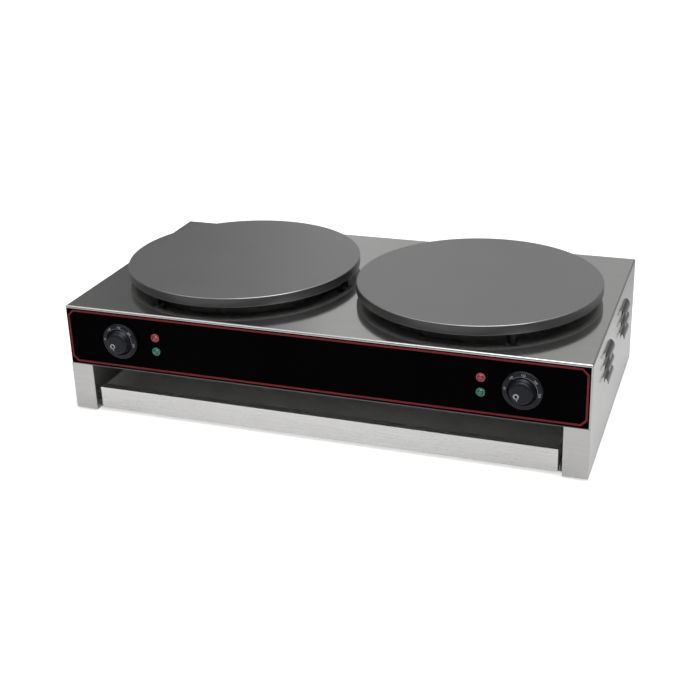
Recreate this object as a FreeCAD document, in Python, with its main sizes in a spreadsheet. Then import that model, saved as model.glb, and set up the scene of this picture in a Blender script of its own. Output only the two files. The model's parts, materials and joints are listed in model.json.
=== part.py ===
import FreeCAD, Part
import math
import os
import re

import Sketcher

Vector = FreeCAD.Vector

# Driving dimensions, in millimetres and degrees.
# Width is along X, depth along Y with the front at -Y, and height along Z.
dimensions = {
    "body_width": 862,
    "body_depth": 456,
    "foot_height": 4,
    "base_height": 82,
    "hood_height": 103,
    "gauge": 1.5,
    "thin_gauge": 1.2,
    "bend_radius": 3,
    "seam_flange": 24,
    "leg_width": 39,
    "rear_flange": 20,
    "window_border": 17,
    "window_sill": 8,
    # gaps, and how far a cut starts outside the metal
    "running_gap": 0.05,
    "slide_gap": 0.3,
    "hole_slack": 0.3,
    "cut_over": 1,
    # screws and nuts, as radii and lengths
    "small_screw": 2,
    "screw_sunk": 0.2,
    "screw_reach": 5,
    "deck_screw_inset": 20,
    "deck_screw_end": 54,
    "base_screw_inset": 9,
    "base_screw_end": 182,
    "rear_screw_inset": 13,
    "rear_screw_low": 5.5,
    "rear_screw_high": 13,
    # front panel, dials and lamps
    "panel_margin": 2.5,
    "panel_gauge": 1.5,
    "panel_bottom": 2,
    "panel_top": 4.5,
    "dial_spacing": 662,
    "dial_height": 138.4,
    "dial_diameter": 61,
    "dial_depth": 7,
    "dial_floor": 1.6,
    "dial_edge": 4.5,
    "dial_shoulder": 2.2,
    "dial_round": 4,
    "dial_screw": 14,
    "dial_screw_head": 3.4,
    "dial_screw_rise": 1.8,
    "knob_diameter": 43.6,
    "knob_gap": 4.2,
    "knob_front": 17.5,
    "knob_skin": 6,
    "knob_bevel": 0.6,
    "knob_face": 12.5,
    "knob_round": 6,
    "knob_rest": 212,
    "cup_gap": 0.7,
    "spindle_radius": 3,
    "spindle_hole": 4.5,
    "spindle_flat": 1.9,
    "spindle_inside": 16,
    "lamp_spacing": 536,
    "lamp_pitch": 24,
    "lamp_radius": 5.4,
    "lamp_barrel": 28,
    "lamp_nut": 9,
    "lamp_nut_height": 3,
    "bezel_radius": 7.1,
    "bezel_depth": 2.2,
    "bezel_bevel": 0.8,
    "lens_radius": 5,
    "lens_rise": 2.6,
    "lens_sunk": 0.2,
    "lens_seat": 3,
    # thermostats
    "case_width": 44,
    "case_length": 28,
    "case_height": 34,
    "mounting_width": 50,
    "mounting_height": 32,
    "thermostat_screw": 8,
    "tab_pitch": 14,
    "tab_thickness": 0.8,
    "tab_length": 9,
    "tab_width": 6.3,
    "tab_drop": 4.8,
    # hot plates
    "plate_radius": 200,
    "plate_spacing": 416,
    "plate_thickness": 16,
    "plate_web": 9,
    "plate_gap": 11,
    "plate_edge": 1,
    "plate_skin": 5,
    "rim_width": 10,
    "boss_radius": 13,
    "middle_boss": 12,
    "middle_drop": 1,
    "support_radius": 182,
    "support_swing": 30,
    "standoff_radius": 7,
    "plate_screw": 3,
    "plate_screw_grip": 9,
    "pan_radius": 172,
    "pan_depth": 9,
    "pan_bolt": 4,
    "pan_bolt_length": 9,
    "pan_bolt_head": 7,
    "pan_bolt_rise": 5,
    "bolt_opening": 9,
    "leg_opening": 12,
    "hood_leg_hole": 6,
    "insulation_inset": 2,
    "insulation_gap": 0.2,
    # tubular elements and thermostat sensors
    "outer_ring": 150,
    "inner_ring": 100,
    "ring_span": 325,
    "ring_start": 100,
    "element_radius": 4,
    "element_bend": 12,
    "element_leg": 42,
    "sensor_offset": 45,
    "sensor_length": 80,
    "sensor_radius": 3,
    "capillary_radius": 1,
    "capillary_bend": 6,
    "capillary_hole": 3,
    "capillary_reach": 14,
    "capillary_level": 168,
    "capillary_end": -212,
    # drawer and its rails
    "drawer_recess": 6,
    "front_half": 384.5,
    "front_height": 38.2,
    "front_drop": 1,
    "front_flange": 14,
    "front_hem": 3.2,
    "hem_proud": 0.8,
    "tray_half": 383,
    "tray_length": 420,
    "tray_height": 35.7,
    "tray_corner": 4,
    "rivet_inset": 43,
    "rivet_level": 16,
    "rivet_radius": 3,
    "rivet_rise": 1.2,
    "stop_setback": 302.5,
    "stop_ear": 14,
    "stop_foot": 22,
    "stop_gauge": 1.6,
    "stop_level": 13,
    "stop_height": 20,
    "rail_inner": 371,
    "rail_fence": 386.5,
    "rail_fence_height": 10,
    "rail_lap": 12,
    "rail_setback": 4,
    "rail_overrun": 14,
    # side louvres
    "louvre_length": 54,
    "louvre_height": 12,
    "louvre_depth": 7,
    "louvre_root": 0.5,
    "louvre_pitch": 20,
    "louvre_middle": 131,
    "louvre_front": -80,
    "louvre_rear": 96,
    # rear panel, its vents, glands and bonding stud
    "cover_lap": 10,
    "cover_bottom": 2,
    "cover_top": 7,
    "vent_bank": 130,
    "vent_pitch": 12,
    "vent_width": 4,
    "vent_bottom": 142,
    "vent_top": 170,
    "gland_spacing": 500,
    "gland_height": 118,
    "gland_bore": 6.5,
    "gland_barrel": 10,
    "gland_barrel_length": 13,
    "gland_hex": 14,
    "gland_hex_length": 6,
    "gland_shoulder": 12,
    "gland_nose": 9.5,
    "gland_nut": 15,
    "nut_length": 5,
    "stud_radius": 3,
    "stud_height": 112,
    "stud_hex": 6,
    "stud_collar": 5,
    "stud_free": 12,
    "stud_inside": 10,
    # floor of the hood and what stands on it
    "deck_lap": 8,
    "deck_vent_pitch": 22,
    "deck_vent_width": 6,
    "deck_vent_front": -60,
    "deck_vent_rear": 40,
    "block_spacing": 500,
    "block_place": 150,
    "block_length": 60,
    "block_width": 26,
    "block_height": 14,
    "way_pitch": 19,
    "barrier_width": 3,
    "barrier_height": 8,
    "terminal_spread": 7,
    "terminal_screw": 3.2,
    "terminal_rise": 3,
    "lead_radius": 1.5,
    "lead_bend": 9,
    "lead_level": 9,
    "lead_gap": 0.2,
    "lead_front": -120,
    "lead_turn": -150,
    "lead_upper": 122,
    "lead_straight": 22,
    "lead_slack": 45,
    "lamp_lead_front": -165,
    "lamp_lead_rear": 70,
    # feet
    "foot_inset_x": 18,
    "foot_inset_y": 38,
    "foot_radius": 13,
    "foot_tip": 11,
    "foot_recess": 4.6,
    "foot_screw_length": 10,
    "foot_screw_head": 4,
    "foot_screw_rise": 1.4,
    "foot_nut": 4,
    "foot_nut_height": 3.2,
}

sides = {"left": -1, "right": 1}
lamp_colours = {"red": 1, "green": -1}
rear_vents = 9
deck_vents = 7
rivet_count = 6

doc = FreeCAD.newDocument("crepe_maker")
dims = doc.addObject("Spreadsheet::Sheet", "dims")
for row, (alias, size) in enumerate(dimensions.items(), start=1):
    dims.set(f"A{row}", alias.replace("_", " "))
    dims.set(f"B{row}", str(size))
    dims.setAlias(f"B{row}", alias)
doc.recompute()

# Heights and depths that several pieces share, as formulas of the sheet
base_top = "(foot_height + base_height)"
body_top = "(foot_height + base_height + hood_height)"
front = "(-body_depth / 2)"
rear = "(body_depth / 2)"
panel_face = "(-body_depth / 2 - panel_gauge)"
plate_bottom = "(foot_height + base_height + hood_height + plate_gap)"
web_bottom = f"({plate_bottom} + plate_thickness - plate_web)"
element_middle = f"({web_bottom} - element_radius - running_gap)"
pan_top = f"({element_middle} - element_radius - running_gap)"
deck_top = f"({base_top} + gauge + thin_gauge)"
rear_face = f"({rear} + thin_gauge)"
drawer_face = "(-body_depth / 2 + drawer_recess)"
tray_bottom = "(foot_height + 2 * gauge + slide_gap)"
tray_front = f"({drawer_face} + thin_gauge)"
gland_reach = "(panel_gauge + knob_front - thin_gauge)"
screw_clear = "(small_screw + hole_slack)"
screw_tight = "(small_screw + running_gap)"


def formula(text):
    """Put the sheet's name before each of its dimensions."""
    return re.sub(r"[a-z_]+", lambda word: f"dims.{word[0]}" if word[0] in dimensions else word[0], str(text))


def value(text):
    return float(dims.evalExpression(formula(text)))


def bind(thing, prop, text):
    thing.setExpression(prop, formula(text))


def origin_feature(body, role):
    return next(f for f in body.Origin.OriginFeatures if f.Role == role)


def new_body(label):
    body = doc.addObject("PartDesign::Body", label)
    body.Label = label
    return body


def new_sketch(body, name, role, offset="0"):
    sketch = body.newObject("Sketcher::SketchObject", f"{body.Name}_{name}")
    sketch.AttachmentSupport = (origin_feature(body, role), "")
    sketch.MapMode = "FlatFace"
    bind(sketch, "AttachmentOffset.Base.z", offset)
    return sketch


def hold(sketch, kind, geometry, text, point=None):
    """Add one driving constraint that follows a formula."""
    if point is None:
        index = sketch.addConstraint(Sketcher.Constraint(kind, geometry, value(text)))
    else:
        index = sketch.addConstraint(Sketcher.Constraint(kind, -1, 1, geometry, point, value(text)))
    bind(sketch, f"Constraints[{index}]", text)


def arc_between(start, end, radius):
    """Arc from start to end, bulging to the left of the way there for a positive radius."""
    chord = end - start
    across = Vector(-chord.y, chord.x, 0).normalize()
    rise = abs(radius) - math.sqrt(radius**2 - (chord.Length / 2) ** 2)
    middle = (start + end) / 2 + across * math.copysign(rise, radius)
    return Part.Arc(start, middle, end)


def outline(sketch, corners, arcs=None):
    """Closed outline through corners; arcs maps an edge's number to its radius formula."""
    arcs = arcs or {}
    points = [Vector(value(across), value(up), 0) for across, up in corners]
    first = sketch.GeometryCount
    count = len(points)
    for i, start in enumerate(points):
        end = points[(i + 1) % count]
        if i in arcs:
            sketch.addGeometry(arc_between(start, end, value(arcs[i])), False)
        else:
            sketch.addGeometry(Part.LineSegment(start, end), False)
    for i, (across, up) in enumerate(corners):
        # an arc is always stored anticlockwise, so one that bulges left starts at its far end
        begins = 2 if i in arcs and value(arcs[i]) > 0 else 1
        ends = 3 - begins
        following = (i + 1) % count
        joins = 2 if following in arcs and value(arcs[following]) > 0 else 1
        sketch.addConstraint(Sketcher.Constraint("Coincident", first + i, ends, first + following, joins))
        hold(sketch, "DistanceX", first + i, across, begins)
        hold(sketch, "DistanceY", first + i, up, begins)
        if i in arcs:
            hold(sketch, "Radius", first + i, f"abs({arcs[i]})")


def rectangle(sketch, left, bottom, right, top):
    outline(sketch, [(left, bottom), (right, bottom), (right, top), (left, top)])


def circle(sketch, across, up, radius):
    centre = Vector(value(across), value(up), 0)
    index = sketch.addGeometry(Part.Circle(centre, Vector(0, 0, 1), value(radius)), False)
    hold(sketch, "DistanceX", index, across, 3)
    hold(sketch, "DistanceY", index, up, 3)
    hold(sketch, "Radius", index, radius)


def pad(body, sketch, length, backwards=False, both_ways=False):
    feature = body.newObject("PartDesign::Pad", f"{sketch.Name}_pad")
    feature.Profile = sketch
    bind(feature, "Length", length)
    feature.Reversed = backwards
    feature.Midplane = both_ways
    doc.recompute()
    return feature


def pocket(body, sketch, depth=None, backwards=False):
    """Cut a sketch out, through everything both ways when no depth is given."""
    before = body.Shape.Volume
    feature = body.newObject("PartDesign::Pocket", f"{sketch.Name}_pocket")
    feature.Profile = sketch
    feature.Reversed = backwards
    if depth is None:
        feature.Type = "ThroughAll"
        feature.Midplane = True
    else:
        bind(feature, "Length", depth)
    doc.recompute()
    if not body.Shape.Volume < before:
        raise ValueError(f"{feature.Name} removes nothing")
    return feature


def revolve(body, sketch):
    """Turn a sketch right round its own vertical axis."""
    feature = body.newObject("PartDesign::Revolution", f"{sketch.Name}_turn")
    feature.Profile = sketch
    feature.ReferenceAxis = (sketch, ["V_Axis"])
    feature.Angle = 360
    doc.recompute()
    return feature


def fillet(body, base, radius, chosen):
    """Round the edges of the base feature whose middle passes the test."""
    names = []
    for number, edge in enumerate(base.Shape.Edges, start=1):
        middle = edge.valueAt((edge.FirstParameter + edge.LastParameter) / 2)
        if chosen(middle):
            names.append(f"Edge{number}")
    feature = body.newObject("PartDesign::Fillet", f"{body.Name}_fillet")
    feature.Base = (base, names)
    bind(feature, "Radius", radius)
    doc.recompute()
    return feature


def polar(body, features, count):
    pattern = body.newObject("PartDesign::PolarPattern", f"{body.Name}_pattern")
    pattern.Originals = features
    pattern.Axis = (origin_feature(body, "Z_Axis"), [""])
    pattern.Angle = 360
    pattern.Occurrences = count
    body.Tip = pattern
    doc.recompute()
    return pattern


def place(thing, across="0", along="0", up="0"):
    bind(thing, "Placement.Base.x", across)
    bind(thing, "Placement.Base.y", along)
    bind(thing, "Placement.Base.z", up)


# Rotations that turn a primitive's own Z to the direction named
toward = {
    "+Z": FreeCAD.Rotation(),
    "-Z": FreeCAD.Rotation(Vector(1, 0, 0), 180),
    "+Y": FreeCAD.Rotation(Vector(1, 0, 0), -90),
    "-Y": FreeCAD.Rotation(Vector(1, 0, 0), 90),
}


def cylinder(radius, height, at, direction="+Z"):
    solid = doc.addObject("Part::Cylinder", "rod")
    bind(solid, "Radius", radius)
    bind(solid, "Height", height)
    solid.Placement = FreeCAD.Placement(Vector(), toward[direction])
    place(solid, *at)
    return solid


def cone(base_radius, end_radius, height, at, direction="+Z"):
    solid = doc.addObject("Part::Cone", "taper")
    bind(solid, "Radius1", base_radius)
    bind(solid, "Radius2", end_radius)
    bind(solid, "Height", height)
    solid.Placement = FreeCAD.Placement(Vector(), toward[direction])
    place(solid, *at)
    return solid


def block(length, width, height, at):
    """Box centred on its place across and along, standing on its height."""
    solid = doc.addObject("Part::Box", "block")
    bind(solid, "Length", length)
    bind(solid, "Width", width)
    bind(solid, "Height", height)
    place(solid, f"{at[0]} - ({length}) / 2", f"{at[1]} - ({width}) / 2", at[2])
    return solid


def prism(sides_count, radius, height, at, direction="+Z"):
    solid = doc.addObject("Part::Prism", "prism")
    solid.Polygon = sides_count
    bind(solid, "Circumradius", radius)
    bind(solid, "Height", height)
    solid.Placement = FreeCAD.Placement(Vector(), toward[direction])
    place(solid, *at)
    return solid


def fused(shapes, label=None):
    whole = doc.addObject("Part::MultiFuse", label or "joined")
    whole.Shapes = shapes
    return whole


def cut(base, tool, label=None):
    rest = doc.addObject("Part::Cut", label or "cut")
    rest.Base = base
    rest.Tool = tool
    return rest


def group(label, shapes):
    """One node of separate solids."""
    bundle = doc.addObject("Part::Compound", label)
    bundle.Links = shapes
    return bundle


def shift(place_at, direction, distance):
    """Formulas of a place moved some way along a direction."""
    sign = direction[0]
    axis = "XYZ".index(direction[1])
    moved = list(place_at)
    moved[axis] = f"{moved[axis]} {sign} ({distance})"
    return moved


def screw(seat, direction, shank, length, head=None, head_height=None):
    """Pan-head screw: its head stands on the seat and its shank runs the way given."""
    opposite = {"+": "-", "-": "+"}[direction[0]] + direction[1]
    head = head or f"({shank}) * 1.95"
    head_height = head_height or f"({shank}) * 1.1"
    return fused([
        cone(head, f"({head}) * 0.8", head_height, seat, opposite),
        cylinder(shank, f"({length}) + screw_sunk", shift(seat, opposite, "screw_sunk"), direction),
    ])


def nut(middle_of_face, direction, bore, height, radius):
    hexagon = prism(6, radius, height, middle_of_face, direction)
    return cut(hexagon, cylinder(f"{bore} + running_gap", f"({height}) * 3",
                                 shift(middle_of_face, direction, f"-({height})"), direction))


# Tubes and wires that follow straight runs and tangent arcs

def bent_path(points, radius):
    """Wire through points with each corner rounded by a tangent arc."""
    edges = []
    start = points[0]
    for before, corner, after in zip(points, points[1:], points[2:]):
        back = (before - corner).normalize()
        ahead = (after - corner).normalize()
        turn = math.pi - back.getAngle(ahead)
        reach = radius * math.tan(turn / 2)
        middle_way = (back + ahead).normalize()
        middle = corner + middle_way * (radius / math.cos(turn / 2) - radius)
        edges.append(Part.LineSegment(start, corner + back * reach).toShape())
        edges.append(Part.Arc(corner + back * reach, middle, corner + ahead * reach).toShape())
        start = corner + ahead * reach
    edges.append(Part.LineSegment(start, points[-1]).toShape())
    return Part.Wire(edges)


def swept_tube(path, radius):
    """Round tube along a path, checked against its section times its length."""
    start = path.Edges[0]
    begin = start.valueAt(start.FirstParameter)
    heading = start.tangentAt(start.FirstParameter)
    section = Part.Wire(Part.makeCircle(radius, begin, heading))
    solid = path.makePipeShell([section], True, False)
    expected = math.pi * radius**2 * path.Length
    if abs(solid.Volume / expected - 1) > 0.01:
        raise ValueError(f"tube holds {solid.Volume:.0f}, not {expected:.0f}")
    return solid


def shaped(label, shape):
    feature = doc.addObject("Part::Feature", label)
    feature.Shape = shape
    return feature


# Sheet metal body

def make_hood():
    """Welded hood: top, front, sides and rear border, with a seam flange inside its bottom edge."""
    body = new_body("hood")
    half = "body_width / 2"
    sketch = new_sketch(body, "outer", "XY_Plane", base_top)
    rectangle(sketch, f"-{half}", front, half, rear)
    shell = pad(body, sketch, "hood_height")

    height = value(body_top)
    depth = value(rear)
    width = value(half)
    bends = lambda p: (abs(p.z - height) < 0.01 and p.y < depth - 1) or (
        abs(abs(p.x) - width) < 0.01 and abs(p.y + depth) < 0.01)
    fillet(body, shell, "bend_radius", bends)

    sketch = new_sketch(body, "inside", "XY_Plane", f"{base_top} + gauge")
    rectangle(sketch, f"-{half} + gauge", f"{front} + gauge", f"{half} - gauge", f"{rear} - gauge")
    pocket(body, sketch, "hood_height - 2 * gauge", backwards=True)

    sketch = new_sketch(body, "bottom", "XY_Plane", f"{base_top} + gauge")
    rectangle(sketch, f"-{half} + seam_flange", f"{front} + seam_flange",
              f"{half} - seam_flange", f"{rear} - seam_flange")
    pocket(body, sketch, "2 * gauge")

    sketch = new_sketch(body, "window", "XZ_Plane", f"-{rear} - cut_over")
    rectangle(sketch, f"-{half} + window_border", f"{base_top} + window_sill",
              f"{half} - window_border", f"{body_top} - window_border")
    pocket(body, sketch, "gauge + 2 * cut_over", backwards=True)

    make_louvres(body)
    make_hood_holes(body)
    return body


def louvre_levels():
    return [f"(louvre_middle + {step} * louvre_pitch)" for step in (-1, 0, 1)]


def make_louvres(body):
    """Two groups of three pressed louvres on each side, open along the bottom and at their ends."""
    sketch = new_sketch(body, "slots", "YZ_Plane")
    for middle in ("louvre_front", "louvre_rear"):
        for level in louvre_levels():
            rectangle(sketch, f"{middle} - louvre_length / 2", f"{level} - louvre_height / 2",
                      f"{middle} + louvre_length / 2", f"{level} + louvre_height / 2 - gauge")
    pocket(body, sketch)

    # The blade is part of a ring that leaves the wall at its top and hangs straight at its lip
    arc = "((louvre_depth^2 + louvre_height^2) / (2 * louvre_depth))"
    inner_arc = f"({arc} - thin_gauge)"
    wall = "(body_width / 2)"
    inner_rise = f"sqrt({inner_arc}^2 - ({arc} - louvre_depth)^2)"
    for middle in ("louvre_front", "louvre_rear"):
        sketch = new_sketch(body, f"{middle}_blades", "XZ_Plane", f"-({middle}) + louvre_length / 2")
        for side in sides.values():
            for level in louvre_levels():
                low = f"({level} - louvre_height / 2)"
                corners = [
                    (f"{side} * ({wall} - louvre_root)", f"{low} + louvre_height"),
                    (f"{side} * {wall}", f"{low} + louvre_height"),
                    (f"{side} * ({wall} + louvre_depth)", low),
                    (f"{side} * ({wall} + louvre_depth - thin_gauge)", low),
                    (f"{side} * {wall}", f"{low} + {inner_rise}"),
                    (f"{side} * ({wall} - louvre_root)", f"{low} + {inner_rise}"),
                ]
                outline(sketch, corners, {1: f"{side} * {arc}", 3: f"-{side} * {inner_arc}"})
        pad(body, sketch, "louvre_length", backwards=True)


def leg_places():
    """Where the element's two legs leave its rings, from the plate's centre."""
    return [(f"{ring} * cos(ring_start) + element_bend * sin(ring_start)",
             f"{ring} * sin(ring_start) - element_bend * cos(ring_start)")
            for ring in ("outer_ring", "inner_ring")]


def support_angle(side):
    """Angle of a plate's first support, mirrored from left to right."""
    return value(f"{side} * support_swing - 90")


def support_places(side):
    return [(f"support_radius * cos({support_angle(side) + turn})",
             f"support_radius * sin({support_angle(side) + turn})") for turn in (0, 120, 240)]


def capillary_place(side):
    """Where the sensor's capillary goes down, from the plate's centre."""
    return (f"{side} * (sensor_length / 2 + capillary_reach)", "-sensor_offset")


def make_hood_holes(body):
    """Holes in the top for each plate's supports, element legs and capillary, and in the front."""
    sketch = new_sketch(body, "top_holes", "XY_Plane", f"{body_top} + cut_over")
    for side in sides.values():
        centre = f"{side} * plate_spacing / 2"
        for across, along in support_places(side):
            circle(sketch, f"{centre} + {across}", along, "plate_screw + hole_slack")
        for across, along in leg_places():
            circle(sketch, f"{centre} + {across}", along, "hood_leg_hole")
        across, along = capillary_place(side)
        circle(sketch, f"{centre} + {across}", along, "capillary_hole")
    pocket(body, sketch, "gauge + 2 * cut_over")

    sketch = new_sketch(body, "front_holes", "XZ_Plane", f"-{front} + cut_over")
    front_openings(sketch)
    pocket(body, sketch, "gauge + 2 * cut_over")

    sketch = new_sketch(body, "rear_holes", "XZ_Plane", f"-{rear} - cut_over")
    for across, up in rear_screw_places():
        circle(sketch, across, up, screw_tight)
    pocket(body, sketch, "gauge + 2 * cut_over", backwards=True)

    sketch = new_sketch(body, "seam_holes", "XY_Plane", f"{base_top} - cut_over")
    for across, along in deck_screw_places() + base_screw_places():
        circle(sketch, across, along, screw_tight)
    pocket(body, sketch, "gauge + 2 * cut_over", backwards=True)


def front_openings(sketch):
    """Spindle, thermostat screw and lamp holes, shared by the hood's front and the panel."""
    for side in sides.values():
        dial = f"{side} * dial_spacing / 2"
        circle(sketch, dial, "dial_height", "spindle_hole")
        for hand in (-1, 1):
            circle(sketch, f"{dial} + {hand} * dial_screw", "dial_height", screw_clear)
        for colour in lamp_colours:
            circle(sketch, f"{side} * lamp_spacing / 2", lamp_level(colour), "lamp_radius + hole_slack")


def make_control_panel():
    body = new_body("control_panel")
    half = "(body_width / 2 - panel_margin)"
    sketch = new_sketch(body, "outer", "XZ_Plane", f"-{front}")
    rectangle(sketch, f"-{half}", f"{base_top} + panel_bottom", half, f"{body_top} - panel_top")
    front_openings(sketch)
    pad(body, sketch, "panel_gauge")
    return body


def make_rear_panel():
    """Rear cover over the hood's window, with vents, cord glands and the bonding stud's hole."""
    body = new_body("rear_panel")
    half = "(body_width / 2 - window_border + cover_lap)"
    sketch = new_sketch(body, "outer", "XZ_Plane", f"-{rear}")
    rectangle(sketch, f"-{half}", f"{base_top} + cover_bottom", half, f"{body_top} - cover_top")
    for side in sides.values():
        circle(sketch, f"{side} * gland_spacing / 2", "gland_height", "gland_barrel + hole_slack")
    circle(sketch, "0", "stud_height", "stud_radius + hole_slack")
    for across, up in rear_screw_places():
        circle(sketch, across, up, screw_clear)
    pad(body, sketch, "thin_gauge", backwards=True)

    sketch = new_sketch(body, "vents", "XZ_Plane", f"-{rear}")
    for bank in sides.values():
        for step in range(rear_vents):
            middle = f"({bank} * vent_bank + ({step} - ({rear_vents} - 1) / 2) * vent_pitch)"
            rectangle(sketch, f"{middle} - vent_width / 2", "vent_bottom",
                      f"{middle} + vent_width / 2", "vent_top")
    pocket(body, sketch)
    return body


def rear_screw_places():
    """Two rows of four screws, evenly spaced along the rear border."""
    levels = (f"{base_top} + rear_screw_low", f"{body_top} - rear_screw_high")
    return [(f"({step} * 2 / 3 - 1) * (body_width / 2 - rear_screw_inset)", level)
            for level in levels for step in range(4)]


def make_rear_screws():
    seats = [(across, rear_face, up) for across, up in rear_screw_places()]
    length = "thin_gauge + gauge + screw_reach"
    return group("rear_screws", [screw(seat, "-Y", "small_screw", length) for seat in seats])


def deck_screw_places():
    return [(f"{side} * (body_width / 2 - deck_screw_inset)", f"{end} * (body_depth / 2 - deck_screw_end)")
            for side in sides.values() for end in (-1, 0, 1)]


def make_deck_plate():
    """Floor of the hood, which carries the wiring, on the seam flanges."""
    body = new_body("deck_plate")
    sketch = new_sketch(body, "outer", "XY_Plane", f"{base_top} + gauge")
    half = "(body_width / 2 - seam_flange + deck_lap)"
    end = "(body_depth / 2 - seam_flange + deck_lap)"
    rectangle(sketch, f"-{half}", f"-{end}", half, end)
    for across, along in deck_screw_places():
        circle(sketch, across, along, screw_clear)
    pad(body, sketch, "thin_gauge")

    sketch = new_sketch(body, "vents", "XY_Plane", f"{base_top} + gauge")
    for side in sides.values():
        for step in range(deck_vents):
            middle = f"({side} * plate_spacing / 2 + ({step} - ({deck_vents} - 1) / 2) * deck_vent_pitch)"
            rectangle(sketch, f"{middle} - deck_vent_width / 2", "deck_vent_front",
                      f"{middle} + deck_vent_width / 2", "deck_vent_rear")
    pocket(body, sketch)
    return body


def make_deck_screws():
    seats = [(across, along, deck_top) for across, along in deck_screw_places()]
    length = "thin_gauge + gauge - screw_sunk"
    return group("deck_screws", [screw(seat, "-Z", "small_screw", length) for seat in seats])


def base_screw_places(chosen=(-1, 1)):
    return [(f"{side} * (body_width / 2 - base_screw_inset)", f"({step} * 2 / 3 - 1) * base_screw_end")
            for side in chosen for step in range(4)]


def make_base_screws():
    """Screws up through the base's top flange into the hood's seam flange."""
    seats = [(across, along, f"{base_top} - gauge") for across, along in base_screw_places()]
    length = "2 * gauge - screw_sunk"
    return group("base_screws", [screw(seat, "+Z", "small_screw", length) for seat in seats])


def make_skirt(name, side):
    """One side of the base: a folded pan on edge, whose front return is the leg that shows."""
    body = new_body(f"skirt_{name}")
    sketch = new_sketch(body, "outer", "XY_Plane", "foot_height")
    outer = f"({side} * body_width / 2)"
    inner = f"({side} * (body_width / 2 - leg_width))"
    rectangle(sketch, inner, front, outer, rear)
    pad(body, sketch, "base_height")
    sketch = new_sketch(body, "hollow", "YZ_Plane", inner)
    rectangle(sketch, f"{front} + gauge", "foot_height + gauge", f"{rear} - gauge", f"{base_top} - gauge")
    pocket(body, sketch, "leg_width - gauge", backwards=side > 0)
    sketch = new_sketch(body, "screw_holes", "XY_Plane")
    for across, along in foot_places((side,)):
        circle(sketch, across, along, screw_clear)
    pocket(body, sketch, "foot_height + gauge + cut_over", backwards=True)
    sketch = new_sketch(body, "seam_holes", "XY_Plane", f"{base_top} + cut_over")
    for across, along in base_screw_places((side,)):
        circle(sketch, across, along, screw_clear)
    pocket(body, sketch, "gauge + 2 * cut_over")
    return body


def make_rear_skirt():
    """Channel that closes the base between the two sides at the rear."""
    body = new_body("rear_skirt")
    half = "(body_width / 2 - leg_width)"
    sketch = new_sketch(body, "section", "YZ_Plane")
    low = "foot_height"
    corners = [
        (f"{rear} - rear_flange", low),
        (rear, low),
        (rear, base_top),
        (f"{rear} - rear_flange", base_top),
        (f"{rear} - rear_flange", f"{base_top} - gauge"),
        (f"{rear} - gauge", f"{base_top} - gauge"),
        (f"{rear} - gauge", f"{low} + gauge"),
        (f"{rear} - rear_flange", f"{low} + gauge"),
    ]
    outline(sketch, corners)
    pad(body, sketch, f"2 * {half}", both_ways=True)
    return body


def foot_places(chosen=(-1, 1)):
    return [(f"{side} * (body_width / 2 - foot_inset_x)", f"{end} * (body_depth / 2 - foot_inset_y)")
            for side in chosen for end in (-1, 1)]


def make_feet():
    feet = []
    for across, along in foot_places():
        pad_body = cone("foot_tip", "foot_radius", "foot_height", (across, along, "0"))
        low = (across, along, "-cut_over")
        recess = fused([cylinder("foot_recess", "foot_height / 2 + cut_over", low),
                        cylinder(screw_clear, "foot_height + 2 * cut_over", low)])
        feet.append(cut(pad_body, recess))
    return group("feet", feet)


def make_foot_fasteners():
    pieces = []
    for across, along in foot_places():
        seat = (across, along, "foot_height / 2")
        pieces.append(screw(seat, "+Z", "small_screw", "foot_screw_length",
                            head="foot_screw_head", head_height="foot_screw_rise"))
        pieces.append(nut((across, along, "foot_height + gauge"), "+Z",
                          "small_screw", "foot_nut_height", "foot_nut"))
    return group("foot_fasteners", pieces)


# Drawer

def make_rail(name, side):
    """Fixed rail: a strip under the tray's edge with a low fence beside it."""
    body = new_body(f"rail_{name}")
    low = "(foot_height + gauge)"
    sketch = new_sketch(body, "section", "XZ_Plane", f"-({drawer_face} + rail_setback)")
    corners = [
        (f"{side} * rail_inner", low),
        (f"{side} * (body_width / 2 - leg_width + rail_lap)", low),
        (f"{side} * (body_width / 2 - leg_width + rail_lap)", f"{low} + gauge"),
        (f"{side} * (rail_fence + thin_gauge)", f"{low} + gauge"),
        (f"{side} * (rail_fence + thin_gauge)", f"{low} + rail_fence_height"),
        (f"{side} * rail_fence", f"{low} + rail_fence_height"),
        (f"{side} * rail_fence", f"{low} + gauge"),
        (f"{side} * rail_inner", f"{low} + gauge"),
    ]
    outline(sketch, corners)
    pad(body, sketch, "tray_length + rail_overrun", backwards=True)
    return body


def make_drawer_tray():
    body = new_body("drawer_tray")
    sketch = new_sketch(body, "outer", "XY_Plane", tray_bottom)
    rectangle(sketch, "-tray_half", tray_front, "tray_half", f"{tray_front} + tray_length")
    block_out = pad(body, sketch, "tray_height")
    middle_height = value(f"{tray_bottom} + tray_height / 2")
    fillet(body, block_out, "tray_corner", lambda p: abs(p.z - middle_height) < 0.01)
    sketch = new_sketch(body, "inside", "XY_Plane", f"{tray_bottom} + tray_height")
    rectangle(sketch, "-tray_half + thin_gauge", f"{tray_front} + thin_gauge",
              "tray_half - thin_gauge", f"{tray_front} + tray_length - thin_gauge")
    pocket(body, sketch, "tray_height - thin_gauge")
    return body


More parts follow.
